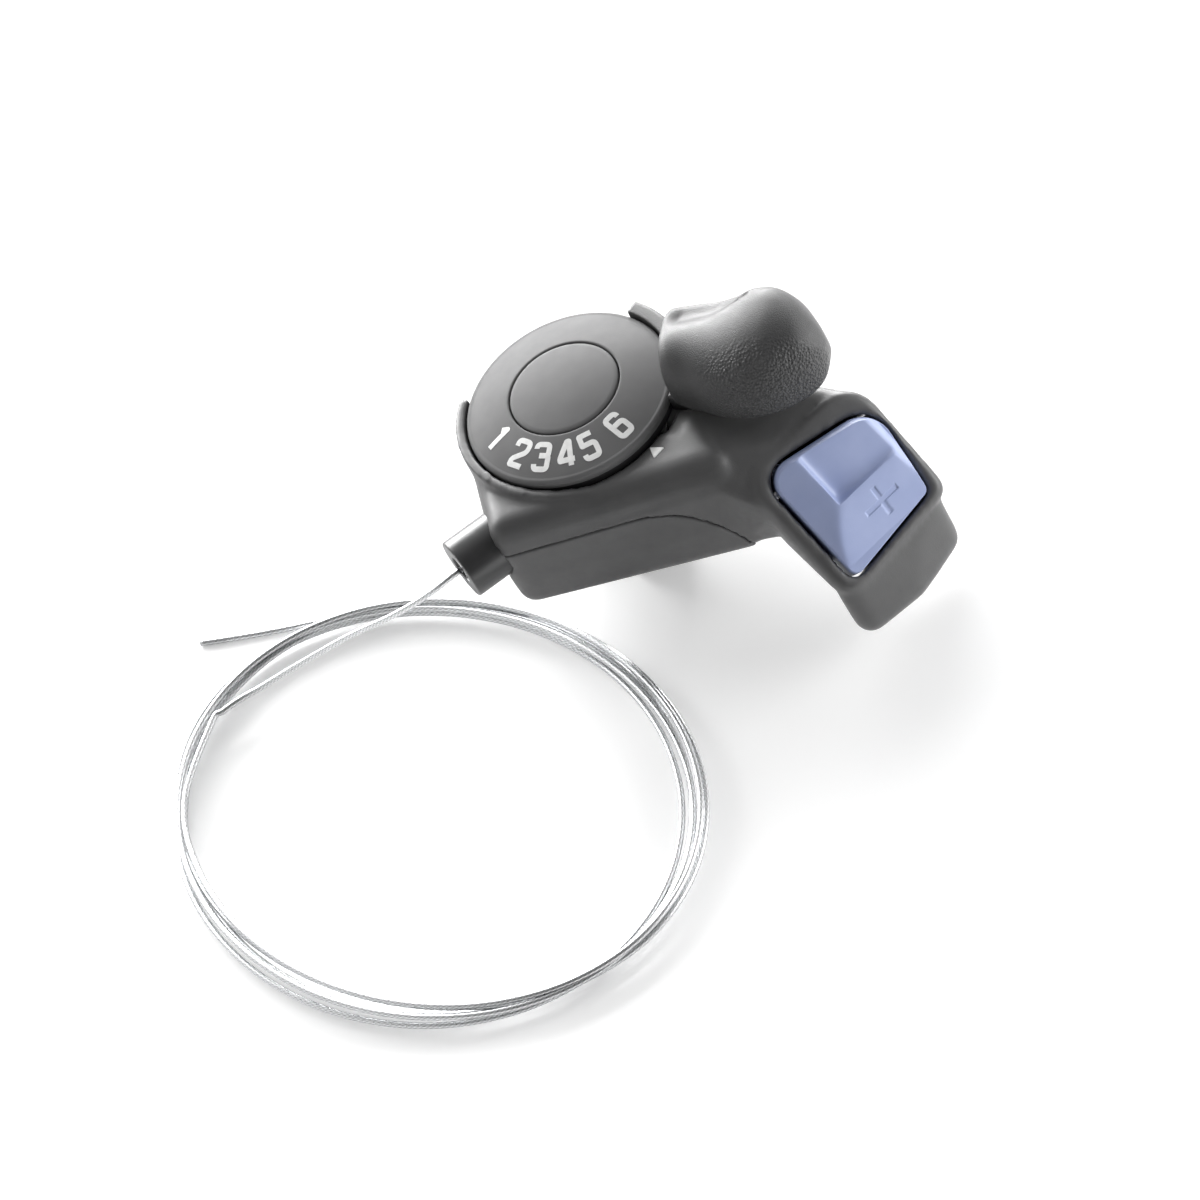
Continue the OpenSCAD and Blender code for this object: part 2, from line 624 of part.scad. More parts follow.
module axle_nut() {
    color(STEEL) translate([0, 0, LEVER_Z + LEVER_T + 0.9]) difference() {
        cylinder(r = 4.6, h = 2, $fn = 6);
        translate([0, 0, -1]) cylinder(r = STUD_R, h = 4, $fn = 32);
    }
}

// Flat finger between a pivot and its working end
module finger(from, to, r_from, r_to, z, h) {
    translate([0, 0, z]) linear_extrude(h) hull() {
        translate(from) circle(r = r_from, $fn = 32);
        translate(to) circle(r = r_to, $fn = 24);
    }
}

// Pawl on a sleeve: the upper finger holds the ratchet wheel, the lower one is pushed to release it
module holding_pawl() {
    color(STEEL) difference() {
        union() {
            finger(PAWL_PIVOT, PAWL_NOSE + [0.3, -2.7], 2.9, 0.9, RATCHET_Z, RATCHET_T - 0.2);
            translate([0, 0, RATCHET_Z]) linear_extrude(RATCHET_T - 0.2) polygon([
                PAWL_NOSE + [-1.2, -2.7], PAWL_NOSE + [0.9, -2.5], PAWL_NOSE + [0.7, -0.5], PAWL_NOSE
            ]);
            finger(PAWL_PIVOT, PAWL_TAIL, 2.9, 1.3, PAWL_FINGER_Z, CRANK_T);
            translate([PAWL_TAIL[0], PAWL_TAIL[1], CRANK_Z - 0.2])
                cylinder(r = 1.1, h = PAWL_FINGER_Z + CRANK_T - CRANK_Z + 0.2, $fn = 24);
            translate([PAWL_PIVOT[0], PAWL_PIVOT[1], PLATE_Z + PLATE_T + 0.1])
                cylinder(r = 2.6, h = RATCHET_Z - PLATE_Z - PLATE_T, $fn = 32);
        }
        translate([PAWL_PIVOT[0], PAWL_PIVOT[1], PLATE_Z]) cylinder(r = PIVOT_R + RUNNING, h = 20, $fn = 32);
    }
}

// A coil spring round a vertical line, closed at both ends
function helix(r, z, h, turns, steps) = [
    for (i = [0 : steps]) let (a = 360 * turns * i / steps) [r * cos(a), r * sin(a), z + h * i / steps]
];
module pawl_spring() {
    color(STEEL) translate([PAWL_PIVOT[0], PAWL_PIVOT[1], 0]) tube(helix(3.25, 18.2, 5.2, 5, 50), 0.35, 6);
}

module release_crank() {
    color(STEEL) difference() {
        union() {
            finger(CRANK_PIVOT, CRANK_INNER, 3.2, 1.3, CRANK_Z, CRANK_T);
            finger(CRANK_PIVOT, CRANK_OUTER, 3.2, 1.3, CRANK_Z, CRANK_T);
        }
        translate([CRANK_PIVOT[0], CRANK_PIVOT[1], CRANK_Z - 1])
            cylinder(r = PIVOT_R + RUNNING, h = CRANK_T + 2, $fn = 32);
    }
}

// Height of the button's crown: a front that slopes to the rider, a dished back and a steep left flank
function button_height(x, y) =
    let (
        front = 4.3 + 0.37 * (y - 0.6),
        back = 4.3 - 0.24 * (y - 0.6) - 1.3 * sin(180 * max(0, min(1, (y - 0.6) / 10)))
            * max(0, 1 - pow((x - 1.5) / 7, 2)),
        left = 1 + 0.72 * (x + 11.2),
        right = 1 + 1.5 * (10.6 - x)
    )
    max(0.7, min(front, back, left, right));
module plus_button() {
    outline = refined(belt(BUTTON_CORNERS, 0), 2.4);
    color(BLUE_PLASTIC) difference() {
        union() {
            on_face() stack(concat(
                [[for (p = outline) [p[0], p[1], -BUTTON_DEPTH]]],
                [[for (p = outline) [p[0], p[1], 0.3]]],
                [for (w = [0.97, 0.92, 0.84, 0.75, 0.65, 0.54, 0.42, 0.3, 0.18])
                    [for (p = outline) let (q = BUTTON_MIDDLE + w * (p - BUTTON_MIDDLE))
                        [q[0], q[1], min(button_height(q[0], q[1]), 0.3 + 16 * (1 - w))]]],
                [[for (p = outline) let (q = BUTTON_MIDDLE + 0.06 * (p - BUTTON_MIDDLE))
                    [q[0], q[1], button_height(BUTTON_MIDDLE[0], BUTTON_MIDDLE[1])]]]
            ));
            hull() {
                on_face() translate([-3.6, 9.6, -5.4]) cube([3, 1.6, 2]);
                translate([26.6, -33, CRANK_Z - 0.4]) cube([2.8, 1.8, CRANK_T + 0.8]);
            }
        }
        on_face() translate([0, 0, -BUTTON_DEPTH - 1]) linear_extrude(BUTTON_DEPTH + 1)
            polygon(belt(BUTTON_CORNERS, BUTTON_WALL));
        button_axis() translate([0, 0, -5]) cylinder(r = BUTTON_PIN_R + RUNNING, h = 40, $fn = 32);
    }
}

module button_pin() {
    color(STEEL) button_axis()
        cylinder(r = BUTTON_PIN_R, h = BUTTON_PIN_ENDS[1] - BUTTON_PIN_ENDS[0], $fn = 32);
}
module button_spring() {
    color(STEEL) button_axis() tube(helix(1.45, 6.4, 3, 4, 40), 0.28, 6);
}

module cable_stop() {
    color(BLACK_PLASTIC) difference() {
        translate([STOP_MOUTH, CABLE_Y, GROOVE_Z]) rotate([0, 90, 0]) union() {
            cylinder(r = stop_d / 2 - 0.4, h = 0.4, $fn = 64);
            translate([0, 0, 0.4 - EPS]) cylinder(r = stop_d / 2, h = STOP_ROOT - STOP_MOUTH + 0.4, $fn = 64);
            translate([0, 0, STOP_ROOT - STOP_MOUTH + 0.6]) cylinder(r = stop_d / 2 + STOP_FLANGE, h = 1.2, $fn = 64);
        }
        translate([STOP_MOUTH - 1, CABLE_Y, GROOVE_Z]) rotate([0, 90, 0]) cylinder(r = 2.6, h = 8, $fn = 48);
        translate([STOP_MOUTH - 1, CABLE_Y, GROOVE_Z]) rotate([0, 90, 0]) cylinder(r = 0.9, h = 20, $fn = 32);
    }
}

// Cast nipple with the short stretch of cable that lies round the drum
module cable_nipple() {
    color(CABLE) {
        translate([0, 0, GROOVE_Z]) rotate([0, 0, -89.5]) rotate_extrude(angle = NIPPLE_TURN - 0.5, $fn = 96)
            translate([drum_r, 0]) circle(r = cable_d / 2, $fn = 24);
        rotate([0, 0, NIPPLE_TURN - 90]) translate([drum_r + 0.1, 0, GROOVE_Z - 2.2]) cylinder(r = 2.3, h = 4.4, $fn = 32);
    }
}

module cable_inner_run() {
    color(CABLE) translate([STOP_MOUTH, CABLE_Y, GROOVE_Z]) rotate([0, 90, 0])
        cylinder(r = cable_d / 2, h = -STOP_MOUTH, $fn = 24);
}

// Band round the handlebar: hooked into the cover in front, with a flat lug for the bolt behind
module clamp_band() {
    color(STEEL) difference() {
        union() {
            rotate([90, 0, 90]) translate([0, 0, -band_w / 2]) linear_extrude(band_w) difference() {
                union() {
                    circle(r = BAR_R + band_t, $fn = 96);
                    translate([HOOK_END, LUG_Z]) square([LUG_END - HOOK_END, band_t]);
                }
                circle(r = BAR_R, $fn = 96);
                translate([-30, LUG_Z + band_t]) square([60, 30]);
            }
            translate([-HOOK_W / 2, HOOK_END, LUG_Z + EPS])
                cube([HOOK_W, band_t, bottom_z + wall + 0.5 - LUG_Z]);
        }
        translate([0, CLAMP_BOLT_Y, 0]) cylinder(r = CLAMP_BOLT_R + 0.25, h = 20, $fn = 32);
    }
}

module clamp_bolt() {
    color(STEEL) translate([0, CLAMP_BOLT_Y, 0]) difference() {
        union() {
            translate([0, 0, LUG_Z - 5]) cylinder(r = 4.25, h = 5, $fn = 48);
            cylinder(r = CLAMP_BOLT_R, h = NUT_Z + NUT_H + 1, $fn = 32);
        }
        translate([0, 0, LUG_Z - 6]) cylinder(r = 2.31, h = 3.6, $fn = 6);
    }
}

module clamp_nut() {
    color(STEEL) translate([0, CLAMP_BOLT_Y, NUT_Z]) difference() {
        cylinder(r = NUT_R, h = NUT_H, $fn = 6);
        translate([0, 0, -1]) cylinder(r = CLAMP_BOLT_R, h = NUT_H + 2, $fn = 32);
    }
}

// Pan-head screws that hold the lower cover to the posts of the upper housing
module housing_screws() {
    color(STEEL) for (p = SCREW_SPOTS) translate([p[0], p[1], bottom_z + 0.6 - SCREW_HEAD[1]]) difference() {
        union() {
            cylinder(r = SCREW_HEAD[0], h = SCREW_HEAD[1], $fn = 32);
            cylinder(r = SCREW_R, h = SCREW_TOP - bottom_z, $fn = 24);
        }
        for (a = [0, 90]) rotate([0, 0, a]) translate([-1.4, -0.25, -1]) cube([2.8, 0.5, 1.8]);
    }
}

// The free cable: the stretch that leaves the stop, the coil on the table and the loose end
module shift_cable_lead() color(CABLE) tube(LEAD_ROUTE, cable_d / 2);

// Point of the coil's oval, k times its size
function coil_point(a, k) = COIL_MIDDLE + k * (COIL_P * cos(a) + COIL_Q * sin(a));
module shift_cable_coil() {
    turn = [for (i = [0 : COIL_STEPS - 1]) 360 * i / COIL_STEPS];
    color(CABLE) translate([0, 0, FLOOR_Z]) linear_extrude(COIL_H) difference() {
        polygon([for (a = turn) coil_point(a, 1 + COIL_HALF_W)]);
        polygon([for (a = turn) coil_point(a, 1 - COIL_HALF_W)]);
    }
}

module shift_cable_tail() color(CABLE) tube(TAIL_ROUTE, cable_d / 2);

upper_housing();
lower_cover();
base_plate();
main_axle();
pawl_pin();
crank_pin();
drum_bush();
cable_drum();
ratchet_wheel();
wave_washer();
lever_plate();
thumb_lever();
number_dial();
centre_cap();
axle_washer();
axle_nut();
holding_pawl();
pawl_spring();
release_crank();
plus_button();
button_pin();
button_spring();
cable_stop();
cable_nipple();
cable_inner_run();
clamp_band();
clamp_bolt();
clamp_nut();
housing_screws();
shift_cable_lead();
shift_cable_coil();
shift_cable_tail();
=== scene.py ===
import logging
import math
from dataclasses import dataclass, field
from enum import Enum

import bmesh
import bpy
import numpy as np
from mathutils import Matrix, Vector
from mathutils.bvhtree import BVHTree


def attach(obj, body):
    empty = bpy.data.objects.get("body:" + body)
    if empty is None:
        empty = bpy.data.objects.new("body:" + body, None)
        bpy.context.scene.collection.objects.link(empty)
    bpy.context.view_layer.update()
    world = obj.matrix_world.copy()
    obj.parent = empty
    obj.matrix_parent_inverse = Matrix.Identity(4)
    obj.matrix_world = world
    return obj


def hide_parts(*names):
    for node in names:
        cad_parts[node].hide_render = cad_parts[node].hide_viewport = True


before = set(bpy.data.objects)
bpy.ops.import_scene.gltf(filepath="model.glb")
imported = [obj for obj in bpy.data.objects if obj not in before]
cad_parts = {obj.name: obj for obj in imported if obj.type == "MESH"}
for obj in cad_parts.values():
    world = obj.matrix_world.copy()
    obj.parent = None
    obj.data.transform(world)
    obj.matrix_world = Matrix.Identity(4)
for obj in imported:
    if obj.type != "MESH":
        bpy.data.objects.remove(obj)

Socket = bpy.types.NodeSocket
Piece = bpy.types.Object
Tone = tuple[float, float, float]
LOG = logging.getLogger("thumb_shifter")
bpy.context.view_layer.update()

# Lengths are in millimetres, in the frame of the handlebar bore, and angles are in radians.
MM = 0.001
FLOOR_Z = -12.6
DIAL_R = 20.0
DIAL_TOP = 34.0
DOME_R = 53.0
CAP_R = 10.5
LEVER_ANGLE = math.radians(-38.0)
# The face frame of the button: x along it, y up its slope, z out of it
FACE_MIDDLE = np.array([30.9, -44.0, 12.9])
FACE_TILT = math.radians(46.5)
FACE_YAW = math.radians(10.5)
STOP_MOUTH = np.array([-34.5, -9.0, 19.5])
# More than any distance here
FAR = 99.0


class Body(Enum):
    """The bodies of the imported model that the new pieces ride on."""

    HOUSING = "housing"
    LEVER = "lever_unit"
    BUTTON = "button"


# -------- finishes


class Nodes:
    """A shader's node tree under construction."""

    def __init__(self, tree: bpy.types.NodeTree) -> None:
        """Takes the tree to add nodes to."""
        self.tree = tree

    def add(self, kind: str, inputs: dict | None = None, **settings: object) -> bpy.types.Node:
        """Adds a node.

        Args:
            kind: Blender's name of the node type.
            inputs: values or output sockets for its input sockets.
            settings: values of the node's own properties.

        Returns:
            The new node.
        """
        node = self.tree.nodes.new(kind)
        for key, value in settings.items():
            setattr(node, key, value)
        for key, value in (inputs or {}).items():
            if isinstance(value, Socket):
                self.tree.links.new(value, node.inputs[key])
            else:
                node.inputs[key].default_value = value
        return node


class Sketch(Nodes):
    """A material under construction: adds shader nodes and wires them."""

    def __init__(self, name: str) -> None:
        """Starts a node material of that name with one Principled shader."""
        self.material = bpy.data.materials.new(name)
        self.material.use_nodes = True
        super().__init__(self.material.node_tree)
        self.shader = self.tree.nodes["Principled BSDF"]
        self.place = self.add("ShaderNodeTexCoord").outputs["Object"]

    def noise(self, scale: float, detail: float = 3.0, place: Socket | None = None) -> Socket:
        """Returns a noise field with that many features to the metre.

        Args:
            scale: features to the metre.
            detail: octaves of finer noise.
            place: coordinates, object coordinates if left out.

        Returns:
            The noise value's socket.
        """
        inputs = {"Vector": place or self.place, "Scale": scale, "Detail": detail}
        return self.add("ShaderNodeTexNoise", inputs).outputs["Fac"]

    def spread(self, value: Socket, low: float, high: float) -> Socket:
        """Returns value, mostly 0.3 to 0.7, stretched to low to high."""
        inputs = {"Value": value, "From Min": 0.3, "From Max": 0.7, "To Min": low, "To Max": high}
        return self.add("ShaderNodeMapRange", inputs).outputs["Result"]

    def mix(self, factor: Socket, a: Tone, b: Tone) -> Socket:
        """Returns colour a going over to colour b by factor."""
        ramp = self.add("ShaderNodeValToRGB", {"Fac": factor})
        ramp.color_ramp.elements[0].color = (*a, 1.0)
        ramp.color_ramp.elements[1].color = (*b, 1.0)
        return ramp.outputs["Color"]

    def attribute(self, name: str) -> Socket:
        """Returns the value of a float attribute of the mesh."""
        return self.add("ShaderNodeAttribute", attribute_name=name).outputs["Fac"]

    def product(self, a: Socket, b: Socket | float) -> Socket:
        """Returns the product of two values."""
        return self.add("ShaderNodeMath", {0: a, 1: b}, operation="MULTIPLY").outputs[0]

    def total(self, a: Socket, b: Socket) -> Socket:
        """Returns the sum of two values."""
        return self.add("ShaderNodeMath", {0: a, 1: b}, operation="ADD").outputs[0]

    def wire(self, socket: Socket, name: str) -> None:
        """Wires a socket to an input of the shader."""
        self.tree.links.new(socket, self.shader.inputs[name])

    def uneven(self, scale: float, detail: float, low: float, high: float) -> None:
        """Makes the roughness wander between two values."""
        self.wire(self.spread(self.noise(scale, detail), low, high), "Roughness")

    def mottled(self, scale: float, dark: Tone, light: Tone) -> None:
        """Makes the colour wander between two tones."""
        self.wire(self.mix(self.spread(self.noise(scale), 0.0, 1.0), dark, light), "Base Color")

    def bump(self, height: Socket, distance_mm: float) -> None:
        """Bumps the surface by height times distance_mm."""
        inputs = {"Height": height, "Distance": distance_mm * MM, "Strength": 1.0}
        self.wire(self.add("ShaderNodeBump", inputs).outputs["Normal"], "Normal")

    def fix(self, **values: float | tuple) -> None:
        """Sets constant inputs of the shader, with _ for a space in their names."""
        for key, value in values.items():
            self.shader.inputs[key.replace("_", " ")].default_value = value


@dataclass(frozen=True)
class MouldedPlastic:
    """Plastic from a spark-eroded mould: a fine even grain and slightly uneven gloss."""

    name: str
    dark: Tone
    light: Tone
    gloss: tuple[float, float] = (0.42, 0.52)
    grain_mm: float = 0.02
    specular: float = 0.7

    def make(self) -> bpy.types.Material:
        """Returns the material."""
        s = Sketch(self.name)
        s.mottled(160.0, self.dark, self.light)
        s.uneven(700.0, 4.0, *self.gloss)
        s.bump(s.noise(4200.0, 2.0), self.grain_mm)
        s.fix(Specular_IOR_Level=self.specular)
        return s.material


@dataclass(frozen=True)
class GrippyPlastic:
    """Plastic with a leather-like grain where the attribute grain is 1, and smooth elsewhere."""

    name: str
    dark: Tone
    light: Tone
    pebble_scale: float = 1900.0
    pebble_mm: float = 0.32

    def make(self) -> bpy.types.Material:
        """Returns the material."""
        s = Sketch(self.name)
        s.mottled(170.0, self.dark, self.light)
        s.uneven(600.0, 4.0, 0.42, 0.50)
        pebbles = s.add("ShaderNodeTexVoronoi", {"Vector": s.place, "Scale": self.pebble_scale})
        pebbled = s.product(pebbles.outputs["Distance"], s.attribute("grain"))
        s.bump(s.total(pebbled, s.product(s.noise(4500.0, 2.0), 0.25)), self.pebble_mm)
        s.fix(Specular_IOR_Level=0.48)
        return s.material


@dataclass(frozen=True)
class Metal:
    """Rolled, turned or plated metal with fine scratches."""

    name: str
    dark: Tone
    light: Tone
    roughness: tuple[float, float] = (0.28, 0.42)
    scratch_mm: float = 0.008
    metallic: float = 1.0

    def make(self) -> bpy.types.Material:
        """Returns the material."""
        s = Sketch(self.name)
        s.mottled(240.0, self.dark, self.light)
        s.uneven(900.0, 5.0, *self.roughness)
        squeeze = s.add("ShaderNodeMapping", {"Vector": s.place, "Scale": (1.0, 1.0, 12.0)})
        s.bump(s.noise(1800.0, 4.0, squeeze.outputs["Vector"]), self.scratch_mm)
        s.fix(Metallic=self.metallic)
        return s.material


@dataclass(frozen=True)
class StrandedCable:
    """Bright drawn strands, with painted shade in the grooves between them where the attribute groove is 1, and
    darker where the attribute fused is 1.
    """

    name: str = "stranded_cable"

    def make(self) -> bpy.types.Material:
        """Returns the material."""
        s = Sketch(self.name)
        # The attribute groove paints shade into the grooves between strands; fused darkens the fused end.
        groove = s.total(s.attribute("groove"), s.attribute("fused"))
        s.wire(s.mix(groove, (0.80, 0.81, 0.82), (0.16, 0.16, 0.165)), "Base Color")
        s.uneven(1500.0, 3.0, 0.26, 0.36)
        s.bump(s.noise(3500.0, 2.0), 0.01)
        s.fix(Metallic=1.0)
        return s.material


@dataclass(frozen=True)
class Ink:
    """White paint of the numbers and the pointer."""

    name: str = "white_paint"
    colour: Tone = (0.90, 0.90, 0.89)

    def make(self) -> bpy.types.Material:
        """Returns the material."""
        s = Sketch(self.name)
        s.mottled(900.0, tuple(0.88 * c for c in self.colour), self.colour)
        s.uneven(1200.0, 3.0, 0.45, 0.6)
        s.bump(s.noise(5000.0, 2.0), 0.01)
        return s.material


class Finish(Enum):
    """Every finish of the shifter, with its maker."""

    HOUSING = MouldedPlastic("housing_plastic", (0.058, 0.058, 0.059), (0.070, 0.070, 0.071))
    DIAL = MouldedPlastic("satin_dial", (0.128, 0.128, 0.129), (0.144, 0.144, 0.145), (0.58, 0.64), 0.012, 0.22)
    LEVER = GrippyPlastic("grained_lever", (0.040, 0.040, 0.041), (0.051, 0.051, 0.052))
    STOP = MouldedPlastic("stop_plastic", (0.024, 0.024, 0.025), (0.032, 0.032, 0.033), (0.28, 0.36), 0.008)
    BUTTON = MouldedPlastic("lavender_button", (0.31, 0.37, 0.59), (0.35, 0.41, 0.63), (0.38, 0.46), 0.008, 0.5)
    NYLON = MouldedPlastic("undyed_nylon", (0.62, 0.60, 0.52), (0.70, 0.68, 0.60), (0.45, 0.55), 0.01)
    ZINC = Metal("zinc_plate", (0.60, 0.61, 0.60), (0.72, 0.73, 0.72))
    HARD = Metal("hardened_steel", (0.40, 0.40, 0.41), (0.52, 0.52, 0.53), (0.22, 0.36))
    SPRING = Metal("spring_wire", (0.50, 0.50, 0.50), (0.62, 0.62, 0.62), (0.2, 0.32))
    BRASS = Metal("turned_brass", (0.66, 0.50, 0.22), (0.76, 0.60, 0.30), (0.22, 0.34))
    BLACK_STEEL = Metal("coated_steel", (0.030, 0.030, 0.031), (0.045, 0.045, 0.046), (0.38, 0.5), 0.01, 0.4)
    CABLE = StrandedCable()
    INK = Ink()

    def material(self) -> bpy.types.Material:
        """Returns the finish's material, made on first use."""
        return bpy.data.materials.get(self.value.name) or self.value.make()


# -------- meshes


def grid_faces(rows: int, cols: int) -> np.ndarray:
    """Quads between neighbouring points of a grid whose last column joins its first.

    Args:
        rows: number of rows.
        cols: number of points in a row.

    Returns:
        An array of four point numbers for each quad.
    """
    i, j = np.meshgrid(np.arange(rows - 1), np.arange(cols), indexing="ij")
    k = (j + 1) % cols
    quads = np.stack([i * cols + j, (i + 1) * cols + j, (i + 1) * cols + k, i * cols + k], axis=-1)
    return quads.reshape(-1, 4)


def signed_volume(points: np.ndarray, faces: list) -> float:
    """Six times the volume inside the faces: the sum of the triple products of each fan triangle."""
    total = 0.0
    for size in {len(f) for f in faces}:
        f = np.array([g for g in faces if len(g) == size])
        for k in range(1, size - 1):
            a, b, c = points[f[:, 0]], points[f[:, k]], points[f[:, k + 1]]
            total += float(np.einsum("ij,ij->", a, np.cross(b, c)))
    return total


def linked(name: str, data: bpy.types.ID) -> Piece:
    """Returns a new object of the scene, at the origin, with the data given."""
    thing = bpy.data.objects.new(name, data)
    bpy.context.scene.collection.objects.link(thing)
    return thing


def make_piece(name: str, points: np.ndarray, faces: list, attributes: dict | None = None) -> Piece:
    """Makes a closed smooth-shaded mesh whose faces point outwards.

    Args:
        name: name of the piece.
        points: its points, in millimetres.
        faces: its faces, all turning one way.
        attributes: values to keep at each point, by name.

    Returns:
        The new object, at the origin.
    """
    if signed_volume(points - points.mean(axis=0), faces) < 0:
        faces = [f[::-1] for f in faces]
    mesh = bpy.data.meshes.new(name)
    mesh.from_pydata((points * MM).tolist(), [], faces)
    for key, values in (attributes or {}).items():
        layer = mesh.attributes.new(key, "FLOAT", "POINT")
        layer.data.foreach_set("value", np.asarray(values, dtype=np.float32).ravel())
    mesh.polygons.foreach_set("use_smooth", np.ones(len(mesh.polygons), dtype=bool))
    mesh.update()
    return linked(name, mesh)


def evaluated(piece: Piece) -> bpy.types.Mesh:
    """Returns a new mesh: the piece's own with its modifiers applied."""
    return bpy.data.meshes.new_from_object(piece.evaluated_get(bpy.context.evaluated_depsgraph_get()))


def slab(name: str, low: np.ndarray, high: np.ndarray) -> Piece:
    """Makes a solid between two flat outlines with the same number of points."""
    count = len(low)
    ends = [list(range(count))[::-1], list(range(count, 2 * count))]
    return make_piece(name, np.vstack([low, high]), grid_faces(2, count).tolist() + ends)


def rings_piece(name: str, grid: np.ndarray, attributes: dict | None = None, closed: bool = False) -> Piece:
    """Makes a solid from a stack of rings.

    Args:
        name: name of the piece.
        grid: points as rows (rings) by columns (around) by xyz, in millimetres.
        attributes: values for each point of the grid, by name.
        closed: True if the last ring joins the first; else both ends get a fan to their middle.

    Returns:
        The new object.
    """
    rows, cols = grid.shape[:2]
    points = grid.reshape(-1, 3)
    if closed:
        quads = grid_faces(rows + 1, cols) % (rows * cols)
        return make_piece(name, points, quads.tolist(), attributes)
    faces = grid_faces(rows, cols).tolist()
    first, last = rows * cols, rows * cols + 1
    turn = np.arange(cols)
    after = (turn + 1) % cols
    low = np.stack([np.full(cols, first), turn, after], axis=-1)
    high = np.stack([np.full(cols, last), (rows - 1) * cols + after, (rows - 1) * cols + turn], axis=-1)
    points = np.vstack([points, grid[0].mean(axis=0), grid[-1].mean(axis=0)])
    full = {k: np.broadcast_to(v, (rows, cols)) for k, v in (attributes or {}).items()}
    extra = {k: np.append(v.ravel(), [v[0].mean(), v[-1].mean()]) for k, v in full.items()}
    return make_piece(name, points, faces + low.tolist() + high.tolist(), extra)


def rounded_profile(corners: list[tuple[float, float, float]], steps: int = 5) -> np.ndarray:
    """A closed outline with each corner rounded by a circular arc.

    Args:
        corners: corners as (u, v, radius), in order round the outline.
        steps: points on each arc, less one.

    Returns:
        The outline's points. An arc touches both sides of its corner at radius / tan(half the angle).
    """
    c = np.array(corners, dtype=float)
    before, after = np.roll(c, 1, axis=0)[:, :2] - c[:, :2], np.roll(c, -1, axis=0)[:, :2] - c[:, :2]
    before /= np.linalg.norm(before, axis=1, keepdims=True)
    after /= np.linalg.norm(after, axis=1, keepdims=True)
    half = np.arccos(np.clip(np.einsum("ij,ij->i", before, after), -1, 1)) / 2
    reach = c[:, 2] / np.tan(half)
    middle = before + after
    middle /= np.maximum(np.linalg.norm(middle, axis=1, keepdims=True), 1e-9)
    centre = c[:, :2] + middle * (c[:, 2] / np.sin(half))[:, None]
    start = c[:, :2] + before * reach[:, None] - centre
    sweep = (math.pi - 2 * half) * np.sign(before[:, 0] * after[:, 1] - before[:, 1] * after[:, 0]) * -1
    t = np.linspace(0, 1, steps + 1)
    angle = sweep[:, None] * t[None, :]
    x = start[:, 0, None] * np.cos(angle) - start[:, 1, None] * np.sin(angle)
    y = start[:, 0, None] * np.sin(angle) + start[:, 1, None] * np.cos(angle)
    return (centre[:, None, :] + np.stack([x, y], axis=-1)).reshape(-1, 2)


def lathe(profile: np.ndarray, steps: int = 192, start: float = 0.0, turn: float = 2 * math.pi) -> np.ndarray:
    """A profile of (distance, height) turned about the Z axis: x = r cos a, y = r sin a, z = h.

    Args:
        profile: closed outline as (distance from the axis, height).
        steps: sections in the turn.
        start: angle of the first section.
        turn: angle that is swept; a whole turn leaves out its last section.

    Returns:
        Points as sections by profile points by xyz.
    """
    whole = abs(turn - 2 * math.pi) < 1e-6
    a = start + turn * np.arange(steps if whole else steps + 1) / steps
    r, h = profile[:, 0], profile[:, 1]
    return np.stack([np.cos(a)[:, None] * r, np.sin(a)[:, None] * r, np.broadcast_to(h, (len(a), len(h)))], axis=-1)


def smooth_table(table: np.ndarray, per_span: int) -> np.ndarray:
    """Rows of a table with smooth rows between them.

    Args:
        table: rows of numbers.
        per_span: steps from one row to the next.

    Returns:
        The rows on a Catmull-Rom curve: each span is a cubic whose slope at a row is half the step
        from the row before to the row after.
    """
    padded = np.vstack([2 * table[0] - table[1], table, 2 * table[-1] - table[-2]])
    u = np.linspace(0, len(table) - 1, per_span * (len(table) - 1) + 1)
    i = np.minimum(u.astype(int), len(table) - 2)
    t = (u - i)[:, None]
    p0, p1, p2, p3 = (padded[i + k] for k in range(4))
    square, cube = 2 * p0 - 5 * p1 + 4 * p2 - p3, 3 * p1 - p0 - 3 * p2 + p3
    return 0.5 * (2 * p1 + (p2 - p0) * t + square * t**2 + cube * t**3)


def belt(circles: list[tuple[float, float, float, int]], inset: float = 0.0) -> np.ndarray:
    """The outline of a belt stretched anticlockwise round circles.

    Args:
        circles: (x, y, radius, arc steps) of each circle.
        inset: how far the outline is drawn in.

    Returns:
        Points of the outline. The belt leaves one circle for the next where the outward normal stands
        at the direction between them less the arc cosine of the change of radius over their distance.
    """
    c = np.array(circles, dtype=float)
    step = np.roll(c, -1, axis=0)[:, :2] - c[:, :2]
    change = c[:, 2] - np.roll(c, -1, axis=0)[:, 2]
    leave = np.arctan2(step[:, 1], step[:, 0]) - np.arccos(change / np.linalg.norm(step, axis=1))
    arrive = np.roll(leave, 1)
    turn = np.mod(leave - arrive + 4 * math.pi, 2 * math.pi)
    arcs = []
    for k in range(len(c)):
        a = arrive[k] + turn[k] * np.linspace(0, 1, int(c[k, 3]) + 1)
        arcs.append(c[k, :2] + (c[k, 2] - inset) * np.stack([np.cos(a), np.sin(a)], axis=-1))
    return np.vstack(arcs)


def even_outline(points: np.ndarray, count: int) -> np.ndarray:
    """A closed outline resampled to count points at equal steps of its length."""
    loop = np.vstack([points, points[:1]])
    far = np.append(0, np.cumsum(np.linalg.norm(np.diff(loop, axis=0), axis=1)))
    at = np.linspace(0, far[-1], count, endpoint=False)
    return np.stack([np.interp(at, far, loop[:, k]) for k in range(loop.shape[1])], axis=-1)


def turned(x: np.ndarray, y: np.ndarray, angle: float) -> tuple[np.ndarray, np.ndarray]:
    """The places (x, y) turned about the Z axis: (x cos a - y sin a, x sin a + y cos a)."""
    c, s = math.cos(angle), math.sin(angle)
    return x * c - y * s, x * s + y * c


